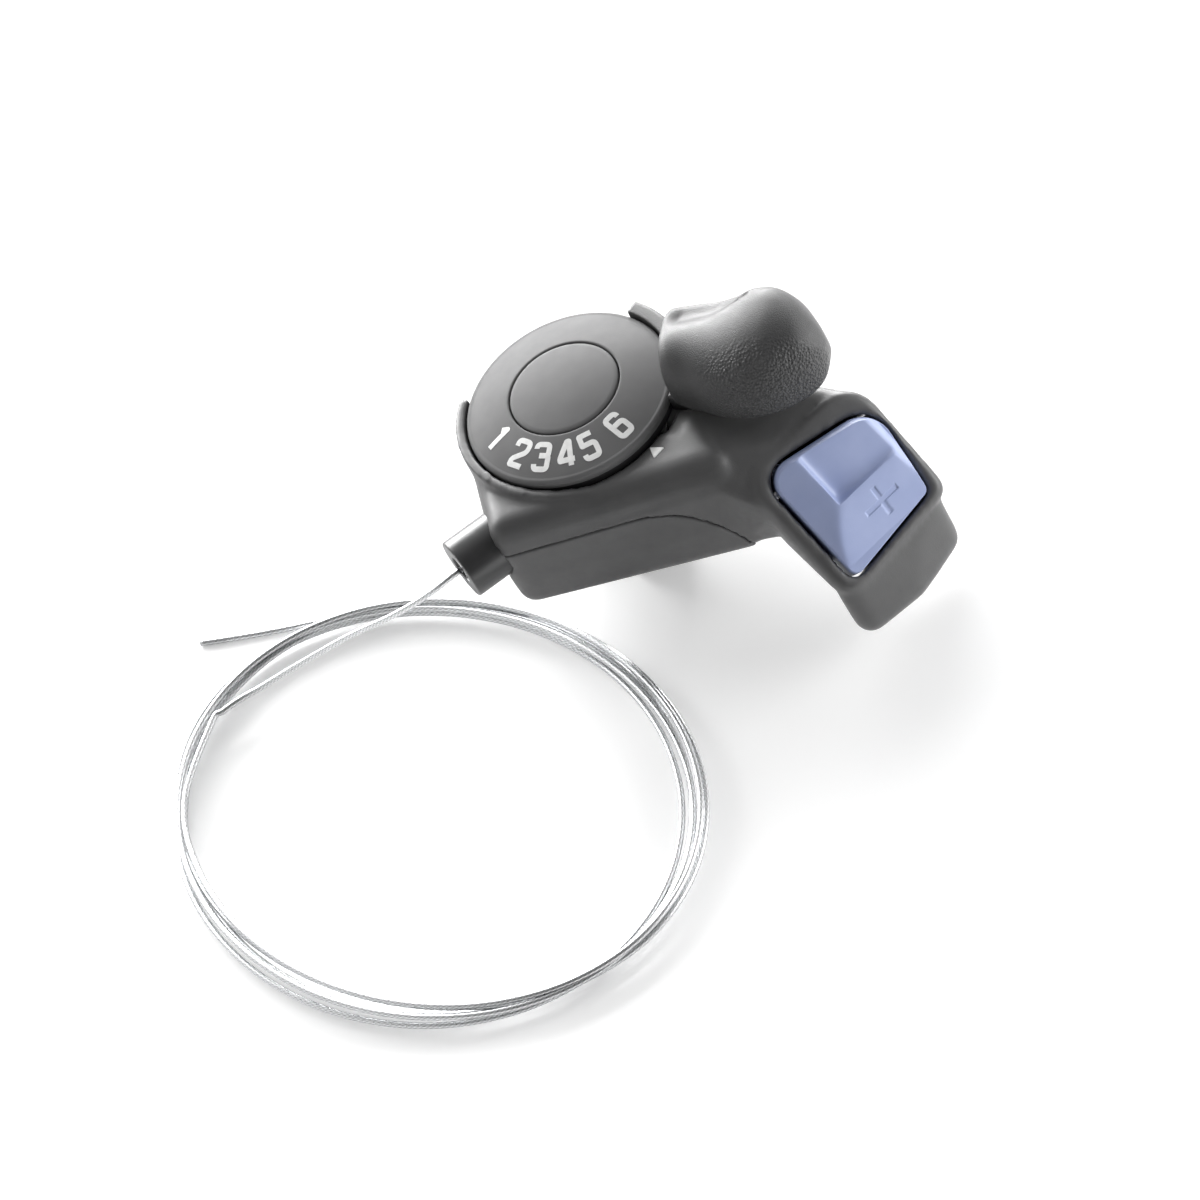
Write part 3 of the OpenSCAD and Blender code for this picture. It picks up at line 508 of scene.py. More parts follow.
def on_face(points: np.ndarray) -> np.ndarray:
    """Points of the button's face frame in the row frame."""
    turn = Matrix.Rotation(FACE_YAW, 3, "Z") @ Matrix.Rotation(FACE_TILT, 3, "X")
    return points @ np.array(turn).T + FACE_MIDDLE


def along_lever(points: np.ndarray) -> np.ndarray:
    """Points given as (out along the lever, across it, height) in the row frame."""
    return np.stack([*turned(points[..., 0], points[..., 1], LEVER_ANGLE), points[..., 2]], axis=-1)


def ease(x: np.ndarray) -> np.ndarray:
    """0 below 0, 1 above 1, and 3 x squared less 2 x cubed between."""
    x = np.clip(x, 0, 1)
    return x * x * (3 - 2 * x)


def dress(piece: Piece, finish: Finish, body: Body, slot: str, *nodes: str) -> Piece:
    """Gives a piece its finish and body, and hides the CAD nodes that it replaces.

    Args:
        piece: the piece.
        finish: its finish.
        body: the body it rides on.
        slot: the record's material slot; not used.
        nodes: CAD nodes that it replaces.

    Returns:
        The piece.
    """
    piece.data.materials.clear()
    piece.data.materials.append(finish.material())
    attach(piece, body.value)
    if nodes:
        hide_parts(*nodes)
    LOG.info("%s on %s: %d faces", piece.name, body.value, len(piece.data.polygons))
    return piece


# -------- studio


@dataclass
class Studio:
    """Camera, lamps, world and the pale floor."""

    sensor_mm: float = 36.0
    distance_mm: float = 2500.0
    view_width_mm: float = 218.6
    right: tuple = (0.804, -0.484, -0.344)
    up: tuple = (0.583, 0.538, 0.608)
    aim_right_mm: float = 6.98
    aim_up_mm: float = -39.29
    floor_size_m: float = 60.0
    dark_side: tuple = (-0.109, -0.689, 0.715)
    world_range: dict = field(default_factory=lambda: {
        "From Min": 0.35, "From Max": 0.95, "To Min": 0.8, "To Max": 0.16,
    })
    # The floor's own light: to the camera, and in gloss along a direction, from one level to the other
    floor_seen: float = 0.27
    gloss_along: tuple = (0.86, -0.5, 0.0)
    gloss_range: dict = field(default_factory=lambda: {
        "From Min": -0.01, "From Max": 0.06, "To Min": 0.2, "To Max": 1.0,
    })
    # Each lamp's name, place, sides, radiance and whether it shows only in gloss
    lamps: tuple = (
        ("back_panel", (0.1, 1.15, 0.5), (1.8, 0.75), 8.0, False),
        ("back_strip", (0.3, 1.15, 0.3), (1.6, 0.45), 15.0, True),
        ("right_panel", (1.1, -0.5, 0.25), (0.8, 0.5), 9.0, False),
    )

    def camera(self) -> None:
        """Places the camera: it looks at a point offset from the dial's top in the picture's plane."""
        x = Vector(self.right).normalized()
        y = Vector(self.up)
        y = (y - x * y.dot(x)).normalized()
        z = x.cross(y)
        aim = Vector((0, 0, DIAL_TOP)) + x * self.aim_right_mm + y * self.aim_up_mm
        data = bpy.data.cameras.new("camera")
        data.sensor_width = self.sensor_mm
        data.lens = self.sensor_mm * self.distance_mm / self.view_width_mm
        data.clip_start, data.clip_end = 0.05, 200.0
        camera = linked("camera", data)
        place = Matrix.Translation((aim + z * self.distance_mm) * MM)
        camera.matrix_world = place @ Matrix((x, y, z)).transposed().to_4x4()
        bpy.context.scene.camera = camera

    def lamp(self, name: str, place: tuple, size: tuple, radiance: float, gloss_only: bool) -> None:
        """Adds an oblong soft lamp that looks at the origin.

        Args:
            name: name of the lamp.
            place: its place in metres.
            size: its sides in metres.
            radiance: its brightness; power is pi times the area times this.
            gloss_only: True if it shows only in reflections.
        """
        data = bpy.data.lights.new(name, "AREA")
        data.shape = "RECTANGLE"
        data.size, data.size_y = size
        data.energy = math.pi * size[0] * size[1] * radiance
        lamp = linked(name, data)
        lamp.location = place
        lamp.visible_diffuse = not gloss_only
        lamp.rotation_euler = (-Vector(place)).to_track_quat("-Z", "Y").to_euler()

    def world(self) -> None:
        """Lights the scene from all round, least from the camera's side, and shows white behind it."""
        world = bpy.data.worlds.new("world")
        bpy.context.scene.world = world
        world.use_nodes = True
        back = world.node_tree.nodes["Background"]
        back.inputs["Color"].default_value = (1.0, 1.0, 1.0, 1.0)
        s = Nodes(world.node_tree)
        place = s.add("ShaderNodeTexCoord").outputs["Generated"]
        towards = s.add("ShaderNodeVectorMath", {0: place, 1: self.dark_side}, operation="DOT_PRODUCT")
        levels = {"Value": towards.outputs["Value"], **self.world_range}
        level = s.add("ShaderNodeMapRange", levels, interpolation_type="SMOOTHSTEP")
        ray = s.add("ShaderNodeLightPath").outputs["Is Camera Ray"]
        seen = s.add("ShaderNodeMath", {0: ray, 1: level.outputs["Result"]}, operation="MAXIMUM")
        world.node_tree.links.new(seen.outputs[0], back.inputs["Strength"])

    def floor(self) -> None:
        """Lays the floor: white paper that keeps the object's shadow."""
        h, z = self.floor_size_m / 2, FLOOR_Z * MM
        mesh = bpy.data.meshes.new("floor")
        mesh.from_pydata([(-h, -h, z), (h, -h, z), (h, h, z), (-h, h, z)], [], [(0, 1, 2, 3)])
        floor = linked("floor", mesh)
        s = Sketch("white_paper")
        s.mottled(30.0, (0.88, 0.88, 0.88), (0.9, 0.9, 0.9))
        s.fix(Roughness=0.9, Specular_IOR_Level=0.0, Emission_Color=(1.0, 1.0, 1.0, 1.0))
        ray = s.add("ShaderNodeLightPath")
        across = s.add("ShaderNodeVectorMath", {0: s.place, 1: self.gloss_along}, operation="DOT_PRODUCT")
        card = s.add("ShaderNodeMapRange", {"Value": across.outputs["Value"], **self.gloss_range})
        reflected = s.product(ray.outputs["Is Glossy Ray"], card.outputs["Result"])
        s.wire(s.total(s.product(ray.outputs["Is Camera Ray"], self.floor_seen), reflected), "Emission Strength")
        floor.data.materials.append(s.material)

    def build(self) -> None:
        """Sets up the whole studio."""
        bpy.context.scene.view_settings.view_transform = "Standard"
        self.camera()
        self.world()
        self.floor()
        for lamp in self.lamps:
            self.lamp(*lamp)


# -------- cable


@dataclass
class ShiftCable:
    """The bare inner cable: out of the stop, round the coil and to its fused end."""

    diameter: float = 1.2
    length: float = 2000.0
    middle: tuple = (-63.4, -25.5)
    axis_p: tuple = (35.2, -38.2)
    axis_q: tuple = (24.7, 41.0)
    from_angle: float = math.radians(160.5)
    turns: float = 5.864
    points_a_turn: int = 18
    sides: int = 24
    strands: int = 6
    ring_step: float = 0.62
    path_step: float = 2.0
    lay_mm: float = 9.0
    groove_depth: float = 0.13
    fused_mm: float = 5.5
    mean_r: float = 50.0
    high: float = -8.0
    low: float = FLOOR_Z + 0.6
    lead: list = field(default_factory=lambda: [
        (-34.5, -9, 19.5), (-36.8, -9, 19.5), (-39.6, -8.4, 18.7), (-42.6, -6.9, 17.2), (-45.7, -4.8, 15.4),
        (-49.8, -1, 12.4), (-55, 5.2, 7.8), (-58.8, 9.2, 4.6), (-62.6, 13, 1.4), (-66.2, 16.5, -1.6),
        (-69.6, 19.7, -4.4), (-73.4, 22.3, -6.6), (-77.2, 24, -7.7), (-81.3, 24.4, -8), (-84.4, 23.6, -8),
    ])
    tail: list = field(default_factory=lambda: [
        (-56, 32.2), (-60, 34.9), (-63, 36.9), (-66, 39), (-69.6, 41.6), (-73, 44.1), (-75.6, 46.1),
    ])
    # How far the cable lies outside the middle of the coil at each quarter turn, in millimetres
    spread: list = field(default_factory=lambda: [
        -1.6, -1.2, 2.6, 1.4, -0.2, 1.6, 1.4, -0.6, 1.1, -2.0, 3.0, 2.2,
        -0.9, 0.4, 0.2, 1.0, 0.8, 2.8, -1.8, -0.4, 2.0, -0.8, -0.8, 2.6, 2.9,
    ])

    def route(self) -> np.ndarray:
        """Returns the cable's middle line in millimetres.

        On the coil it is the middle plus k (P cos a + Q sin a), with k 1 plus the spread over the
        coil's mean radius, and it sinks from the top of the coil to the floor.
        """
        quarters = int(math.ceil(self.turns * 4))
        fine = smooth_table(np.array(self.spread[: quarters + 1])[:, None], 40)[:, 0]
        u = np.linspace(0, self.turns, int(self.turns * self.points_a_turn) + 1)
        offset = np.interp(u * 4, np.linspace(0, quarters, len(fine)), fine)
        k = (1 + offset / self.mean_r)[:, None]
        a = (self.from_angle + 2 * math.pi * u)[:, None]
        oval = np.array(self.axis_p) * np.cos(a) + np.array(self.axis_q) * np.sin(a)
        flat = np.array(self.middle) + k * oval
        height = self.low + (self.high - self.low) * (1 - u / self.turns)
        coil = np.column_stack([flat, height])
        tail = np.column_stack([np.array(self.tail), np.full(len(self.tail), self.low)])
        knots = np.vstack([np.array(self.lead, dtype=float), coil[1:-1], tail])
        return smooth_table(knots, 24)

    def resampled(self, line: np.ndarray, step: float) -> tuple[np.ndarray, np.ndarray]:
        """Returns the line at equal steps, and the length from its start at each."""
        far = np.append(0, np.cumsum(np.linalg.norm(np.diff(line, axis=0), axis=1)))
        at = np.linspace(0, far[-1], int(far[-1] / step) + 1)
        return np.stack([np.interp(at, far, line[:, k]) for k in range(3)], axis=-1), at

    def build(self) -> Piece:
        """Makes the cable as one tube.

        The radius is the cable's own less a groove between strands: the strands wind round the
        middle line once in each lay, so the groove is a power of the cosine of half their angle.

        Returns:
            The piece.
        """
        line, at = self.resampled(self.route(), self.ring_step)
        ahead = np.gradient(line, axis=0)
        ahead /= np.linalg.norm(ahead, axis=1, keepdims=True)
        side = np.cross(np.array([0.0, 0.0, 1.0]), ahead)
        side /= np.linalg.norm(side, axis=1, keepdims=True)
        up = np.cross(ahead, side)
        a = np.linspace(0, 2 * math.pi, self.sides, endpoint=False)
        wind = self.strands * (a[None, :] - 2 * math.pi * at[:, None] / self.lay_mm)
        groove = np.abs(np.cos(wind / 2)) ** 6
        fused = ease((at - at[-1] + self.fused_mm) / 0.6)[:, None] * np.ones_like(groove)
        groove *= 1 - 0.6 * fused
        radius = self.diameter / 2 * (1 - self.groove_depth * groove)
        round_it = side[:, None, :] * np.cos(a)[None, :, None] + up[:, None, :] * np.sin(a)[None, :, None]
        grid = line[:, None, :] + radius[..., None] * round_it
        # Besides sinking the radius, the groove pattern is kept as the attribute groove, which paints shade into the
        # grooves between strands.
        piece = rings_piece("shift_cable", grid, {"groove": 0.8 * groove, "fused": 0.35 * fused})
        solids = ("shift_cable_lead", "shift_cable_coil", "shift_cable_tail")
        dress(piece, Finish.CABLE, Body.HOUSING, "cable_steel", *solids)
        LOG.info("cable seen: %.0f mm", at[-1])
        return piece


# -------- housing


@dataclass
class Shell:
    """A moulded half of the housing: the CAD solids on its side of the parting line, with soft edges."""

    name: str
    node: str
    below: bool
    voxel: float = 0.46
    passes: int = 10
    pull: float = 0.55
    # The parting line: level at split_z out to split_x, then an arc of split_r down to the front
    split_x: float = 8.1
    split_z: float = 21.5
    split_r: float = 20.0
    front_turn: float = math.radians(-30.1)
    # Where the wall round the dial stands, and the width over which the edges' softness fades in
    wall_r: float = 21.6
    wall_z: float = 25.0
    fade: float = 1.6
    # The filler of the collar's recess, as (distance from the axis, height), its start and its turn
    recess: tuple = ((21.4, 24.5), (25.0, 24.5), (25.0, 27.7), (21.4, 27.7))
    recess_start: float = math.radians(-68.0)
    recess_turn: float = math.radians(18.0)
    # The plate under the button: its outline in the face frame, and its lower and upper side
    well: tuple = (
        (-11.9, -11.6), (9.6, -9.9), (11.6, 2.0), (9.0, 9.5), (1.8, 11.5), (1.8, 6.5), (-6.5, 6.5),
        (-6.5, 11.8), (-9.0, 11.8), (-11.9, 8.0),
    )
    well_sides: tuple = (-8.7, -7.6)

    def copy(self, node: str) -> Piece:
        """Returns a merged copy of a CAD node's mesh as a new object at the origin."""
        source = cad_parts[node]
        mesh = source.data.copy()
        mesh.transform(source.matrix_world)
        work = bmesh.new()
        work.from_mesh(mesh)
        bmesh.ops.remove_doubles(work, verts=work.verts, dist=1e-6)
        work.to_mesh(mesh)
        work.free()
        return linked(self.name, mesh)

    def side_block(self) -> Piece:
        """Returns a block wider and lower than the housing that ends at the parting line."""
        a = np.linspace(0, math.pi / 2, 40)
        front, low = self.split_x + self.split_r, self.split_z - self.split_r
        arc = np.stack([self.split_x + self.split_r * np.cos(a), low + self.split_r * np.sin(a)], axis=-1)
        line = np.vstack([[[-60.0, -30.0], [front, -30.0]], arc, [[-60.0, self.split_z]]])
        sides = (turned(line[:, 0], np.full(len(line), y), self.front_turn) for y in (-70.0, 70.0))
        return slab("side_block", *(np.column_stack([x, y, line[:, 1]]) for x, y in sides))

    def recess_end(self) -> Piece:
        """Returns the block that fills the low end of the recess that the lever's collar turns in."""
        return rings_piece("recess_end", lathe(np.array(self.recess), 12, self.recess_start, self.recess_turn))

    def well_floor(self) -> Piece:
        """Returns the plate that closes the pod under the button, clear of its finger and its stroke."""
        levels = (np.column_stack([np.array(self.well), np.full(len(self.well), z)]) for z in self.well_sides)
        return slab("well_floor", *map(on_face, levels))

    def drawn_out(self, points: np.ndarray) -> np.ndarray:
        """The points with the pod's lower lip drawn down and a little to the rider, and its underside down."""
        y, z = points[:, 1, None], points[:, 2, None]
        lip = ease((-46.5 - y) / 8) * ease((3.0 - z) / 8) * np.array([0.0, 0.3, 0.7])
        return points - lip - ease((-33.0 - y) / 8) * ease((1.0 - z) / 6) * np.array([0.0, 0.0, 1.1])

    def trimmed(self, node: str, block: Piece, operation: str) -> bpy.types.Mesh:
        """Returns the mesh of a CAD node cut by the block.

        Args:
            node: name of the CAD node.
            block: what cuts it.
            operation: DIFFERENCE for the part outside the block, INTERSECT for the part inside.
        """
        work = self.copy(node)
        modifier = work.modifiers.new("cut", "BOOLEAN")
        modifier.operation, modifier.solver, modifier.object = operation, "EXACT", block
        mesh = evaluated(work)
        bpy.data.objects.remove(work)
        return mesh

    def joined(self) -> Piece:
        """Returns the shell's side of both CAD nodes as one object, before it is covered evenly."""
        block = self.side_block()
        operation = "INTERSECT" if self.below else "DIFFERENCE"
        work = bmesh.new()
        for node in ("upper_housing", "lower_cover"):
            work.from_mesh(self.trimmed(node, block, operation))
        if not self.below:
            for filler in (self.recess_end(), self.well_floor()):
                work.from_mesh(filler.data)
                bpy.data.objects.remove(filler)
        mesh = bpy.data.meshes.new(self.name)
        work.to_mesh(mesh)
        work.free()
        bpy.data.objects.remove(block)
        return linked(self.name, mesh)

    def remesh(self, piece: Piece) -> None:
        """Replaces the piece's mesh by an even cover of small faces."""
        modifier = piece.modifiers.new("even", "REMESH")
        modifier.mode = "VOXEL"
        modifier.voxel_size = self.voxel * MM
        mesh = evaluated(piece)
        piece.modifiers.clear()
        piece.data = mesh
        mesh.name = self.name

    def softness(self, points: np.ndarray) -> np.ndarray:
        """How freely each point moves while the edges are softened, from 0 to 1.

        Args:
            points: the points in millimetres.

        Returns:
            1, but less within a millimetre or two of the parting line and of the dial's recess.
        """
        x = turned(points[:, 0], points[:, 1], -self.front_turn)[0] - self.split_x
        z = points[:, 2] - (self.split_z - self.split_r)
        level = np.where(x < 0, np.abs(z - self.split_r), FAR)
        arc = np.where((x >= 0) & (z >= 0), np.abs(np.hypot(x, z) - self.split_r), FAR)
        drop = np.where(z < 0, np.abs(x - self.split_r), FAR)
        near = np.minimum(np.minimum(level, arc), drop)
        parting = 0.12 + 0.88 * ease((near - 0.3) / self.fade)
        wall = np.abs(np.hypot(points[:, 0], points[:, 1]) - self.wall_r)
        rim = np.where(points[:, 2] > self.wall_z, 0.25 + 0.75 * ease((wall - 1.2) / self.fade), 1.0)
        return parting * rim

    def soften(self, piece: Piece) -> None:
        """Rounds the edges: each pass moves a point part of the way to the mean of its neighbours.

        Args:
            piece: the object whose mesh is softened.
        """
        mesh = piece.data
        points = np.empty(len(mesh.vertices) * 3)
        mesh.vertices.foreach_get("co", points)
        points = points.reshape(-1, 3) / MM
        edges = np.empty(len(mesh.edges) * 2, dtype=np.int32)
        mesh.edges.foreach_get("vertices", edges)
        a, b = edges.reshape(-1, 2).T
        count = np.bincount(a, minlength=len(points)) + np.bincount(b, minlength=len(points))
        weight = (self.pull * self.softness(points))[:, None]
        for _ in range(self.passes):
            total = np.stack([
                np.bincount(a, points[b, k], len(points)) + np.bincount(b, points[a, k], len(points))
                for k in range(3)
            ], axis=-1)
            points += weight * (total / count[:, None] - points)
        points = self.drawn_out(points)
        mesh.vertices.foreach_set("co", (points * MM).ravel())
        mesh.polygons.foreach_set("use_smooth", np.ones(len(mesh.polygons), dtype=bool))
        mesh.update()

    def build(self) -> Piece:
        """Makes the shell and returns it."""
        piece = self.joined()
        self.remesh(piece)
        self.soften(piece)
        return dress(piece, Finish.HOUSING, Body.HOUSING, "black_plastic", self.node)


@dataclass
class Pointer:
    """The white triangle beside the dial that points at the gear's number."""

    angle: float = math.radians(-76.0)
    tip_r: float = 20.9
    base_r: float = 23.6
    half_width: float = 1.45
    thickness: float = 0.12

    def build(self, carrier: Piece) -> Piece:
        """Lays the triangle on the housing's top.

        Args:
            carrier: the shell that it lies on.

        Returns:
            The piece.
        """
        corners = [(self.tip_r, 0.0, 0.15), (self.base_r, self.half_width, 0.2), (self.base_r, -self.half_width, 0.2)]
        outline = rounded_profile(corners, 4)
        middle = outline.mean(axis=0)
        rings = np.stack([middle + w * (outline - middle) for w in (1.0, 1.0, 0.94, 0.6, 0.3)])
        x, y = turned(rings[..., 0], rings[..., 1], self.angle)
        tree = BVHTree.FromObject(carrier, bpy.context.evaluated_depsgraph_get())
        above = [Vector((p, q, 40.0)) * MM for p, q in zip(x.ravel(), y.ravel())]
        z = np.array([tree.ray_cast(place, Vector((0, 0, -1)))[0].z / MM for place in above]).reshape(x.shape)
        lift = np.array([-0.25, 0.6, 1.0, 1.0, 1.0])[:, None] * self.thickness
        piece = rings_piece("gear_pointer", np.stack([x, y, z + lift], axis=-1))
        return dress(piece, Finish.INK, Body.HOUSING, "black_plastic")


# -------- dial


def dome(r: np.ndarray | float) -> np.ndarray | float:
    """Height of the dial's dome: a sphere whose top stands at DIAL_TOP."""
    return DIAL_TOP - DOME_R + np.sqrt(DOME_R**2 - np.square(r))


@dataclass
class Dial:
    """The domed number dial and its plain centre cap."""

    rim_z: float = 28.5
    rim_round: float = 0.9
    gap: float = 0.28
    wall: float = 1.6
    digit_r: float = 15.05
    digit_h: float = 4.65
    digit_w: float = 2.7
    stroke: float = 1.02
    longest_step: float = 0.35
    lift: tuple = (0.035, 0.06)
    thickness: float = 0.09
    places: tuple = (-182.0, -157.0, -139.0, -120.5, -103.5, -78.5)

    def ring(self) -> Piece:
        """Returns the number ring: the dome from the cap's gap to the rounded rim."""
        inner, edge_r, wall_r = CAP_R + self.gap, DIAL_R - self.rim_round, DIAL_R - self.wall
        top = np.linspace(inner + 0.35, edge_r, 40)
        turn = np.linspace(math.pi / 2 - 0.3, 0, 8)
        rim_x = edge_r + self.rim_round * np.cos(turn)
        rim_z = dome(edge_r) - self.rim_round * 0.95 + self.rim_round * np.sin(turn)
        seat_r, seat_z = CAP_R - 1, dome(CAP_R) - 1.75
        profile = np.vstack([
            [[inner, dome(inner) - 1.6], [inner, dome(inner) - 0.35], [inner + 0.1, dome(inner) - 0.1]],
            np.column_stack([top, dome(top)]), np.column_stack([rim_x, rim_z]),
            [[DIAL_R, self.rim_z + 0.2], [DIAL_R - 0.2, self.rim_z], [wall_r, self.rim_z]],
            [[wall_r, dome(wall_r) - 1.5], [seat_r, seat_z - 0.85], [seat_r, seat_z]],
        ])
        piece = rings_piece("number_ring", lathe(profile), closed=True)
        return dress(piece, Finish.DIAL, Body.LEVER, "dial_plastic", "number_dial")

    def cap(self) -> Piece:
        """Returns the centre cap: the same dome with a softly rounded edge."""
        hub, corner = 0.4, 0.35
        r = np.linspace(hub, CAP_R - 0.45, 24)
        turn = np.linspace(math.pi / 2 - 0.2, 0, 6)
        edge_x = CAP_R - corner + corner * np.cos(turn)
        edge_z = dome(CAP_R) - corner + corner * np.sin(turn)
        under = [[CAP_R, dome(CAP_R) - 1.6], [CAP_R - 1.5, dome(CAP_R) - 1.65], [hub, dome(0) - 1.5]]
        profile = np.vstack([np.column_stack([r, dome(r)]), np.column_stack([edge_x, edge_z]), under])
        piece = rings_piece("plain_cap", lathe(profile).transpose(1, 0, 2))
        return dress(piece, Finish.DIAL, Body.LEVER, "dial_plastic", "centre_cap")

    def strokes(self) -> list[list[list[tuple[float, float, float]]]]:
        """Strokes of the digits 1 to 6 in a unit box, each point with its corner's radius."""
        r, s = 0.16, 0.02
        one = [(0.22, 0.80, 0), (0.58, 1.0, s), (0.58, 0.0, 0)]
        two = [
            (0.02, 0.74, 0), (0.02, 1.0, r), (0.98, 1.0, r), (0.98, 0.60, r), (0.04, 0.20, 0.1), (0.04, 0.0, s),
            (1.0, 0.0, 0),
        ]
        three_top = [(0.02, 0.82, 0), (0.02, 1.0, r), (0.96, 1.0, r), (0.96, 0.54, 0.1), (0.30, 0.54, 0)]
        three_low = [(0.40, 0.54, 0), (0.98, 0.54, 0.1), (0.98, 0.0, r), (0.0, 0.0, r), (0.0, 0.2, 0)]
        four = [(0.76, 0.0, 0), (0.76, 1.0, s), (0.62, 1.0, s), (0.0, 0.34, 0.05), (0.0, 0.25, s), (1.06, 0.25, 0)]
        five = [
            (0.94, 1.0, 0), (0.08, 1.0, s), (0.05, 0.58, s), (0.96, 0.58, r), (0.96, 0.0, r), (0.0, 0.0, r),
            (0.0, 0.2, 0),
        ]
        six = [
            (0.94, 0.8, 0), (0.94, 1.0, r), (0.04, 1.0, r), (0.04, 0.0, r), (0.98, 0.0, r), (0.98, 0.56, r),
            (0.10, 0.56, 0),
        ]
        return [[one], [two], [three_top, three_low], [four], [five], [six]]

    def ribbon(self, stroke: list[tuple[float, float, float]]) -> np.ndarray:
        """The two edges of a stroke as wide as self.stroke.

        Args:
            stroke: its points in the unit box, each with a radius.

        Returns:
            Points of the middle line by (left edge, right edge) by (x, y), in millimetres. An edge lies
            half a stroke off along the mean normal, made longer at a bend by 1 over the cosine of half of it.
        """
        size = np.array([self.digit_w, self.digit_h])
        knots = np.array([p[:2] for p in stroke]) * size
        line = [knots[0]]
        for i in range(1, len(knots) - 1):
            r = max(stroke[i][2] * self.digit_h, 0.02)
            back, on = knots[i - 1] - knots[i], knots[i + 1] - knots[i]
            start = knots[i] + back / np.linalg.norm(back) * r
            end = knots[i] + on / np.linalg.norm(on) * r
            t = np.linspace(0, 1, 7)[:, None]
            line.extend((1 - t) ** 2 * start + 2 * t * (1 - t) * knots[i] + t**2 * end)
        line.append(knots[-1])
        line = self.refined(np.array(line))
        step = np.diff(line, axis=0)
        step /= np.linalg.norm(step, axis=1, keepdims=True)
        normal = np.stack([-step[:, 1], step[:, 0]], axis=-1)
        before, after = np.vstack([normal[:1], normal]), np.vstack([normal, normal[-1:]])
        mean = before + after
        mean /= np.linalg.norm(mean, axis=1, keepdims=True)
        reach = self.stroke / 2 / np.maximum(np.einsum("ij,ij->i", mean, after), 0.7)
        return np.stack([line + mean * reach[:, None], line - mean * reach[:, None]], axis=1)

    def refined(self, line: np.ndarray) -> np.ndarray:
        """The line with points added so that no step is longer than self.longest_step."""
        points = [line[:1]]
        for a, b in zip(line[:-1], line[1:]):
            count = max(1, math.ceil(np.linalg.norm(b - a) / self.longest_step))
            points.append(a + (b - a) * (np.arange(1, count + 1) / count)[:, None])
        return np.vstack(points)

    def digits(self) -> Piece:
        """Returns the six digits as one piece laid on the dome, their tops towards the middle.

        Each stroke rises a little along its length, so that it crosses over itself and others.
        """
        points, faces, count = [], [], 0
        for angle, digit in zip(self.places, self.strokes()):
            for stroke in digit:
                edges = self.ribbon(stroke)
                across = np.linspace(0, 1, 5)[None, :, None]
                flat = edges[:, :1] * (1 - across) + edges[:, 1:] * across
                flat = flat - np.array([self.digit_w / 2, self.digit_h / 2])
                x, y = turned(self.digit_r - flat[..., 1], flat[..., 0], math.radians(angle))
                lift = np.linspace(*self.lift, len(x))[:, None]
                top = np.stack([x, y, dome(np.hypot(x, y)) + lift], axis=-1)
                low = top - np.array([0, 0, self.thickness])
                ring = np.concatenate([top, low[:, ::-1]], axis=1)
                n, m = ring.shape[:2]
                body = grid_faces(n, m) + count
                ends = [list(range(count, count + m)), list(range(count + (n - 1) * m, count + n * m))[::-1]]
                points.append(ring.reshape(-1, 3))
                faces.extend([f[::-1] for f in body.tolist()] + [e[::-1] for e in ends])
                count += n * m
        piece = make_piece("dial_numbers", np.vstack(points), faces)
        piece.data.polygons.foreach_set("use_smooth", np.zeros(len(piece.data.polygons), dtype=bool))
        return dress(piece, Finish.INK, Body.LEVER, "dial_plastic")

    def build(self) -> None:
        """Makes the dial's pieces."""
        self.ring()
        self.cap()
        self.digits()


# -------- thumb lever


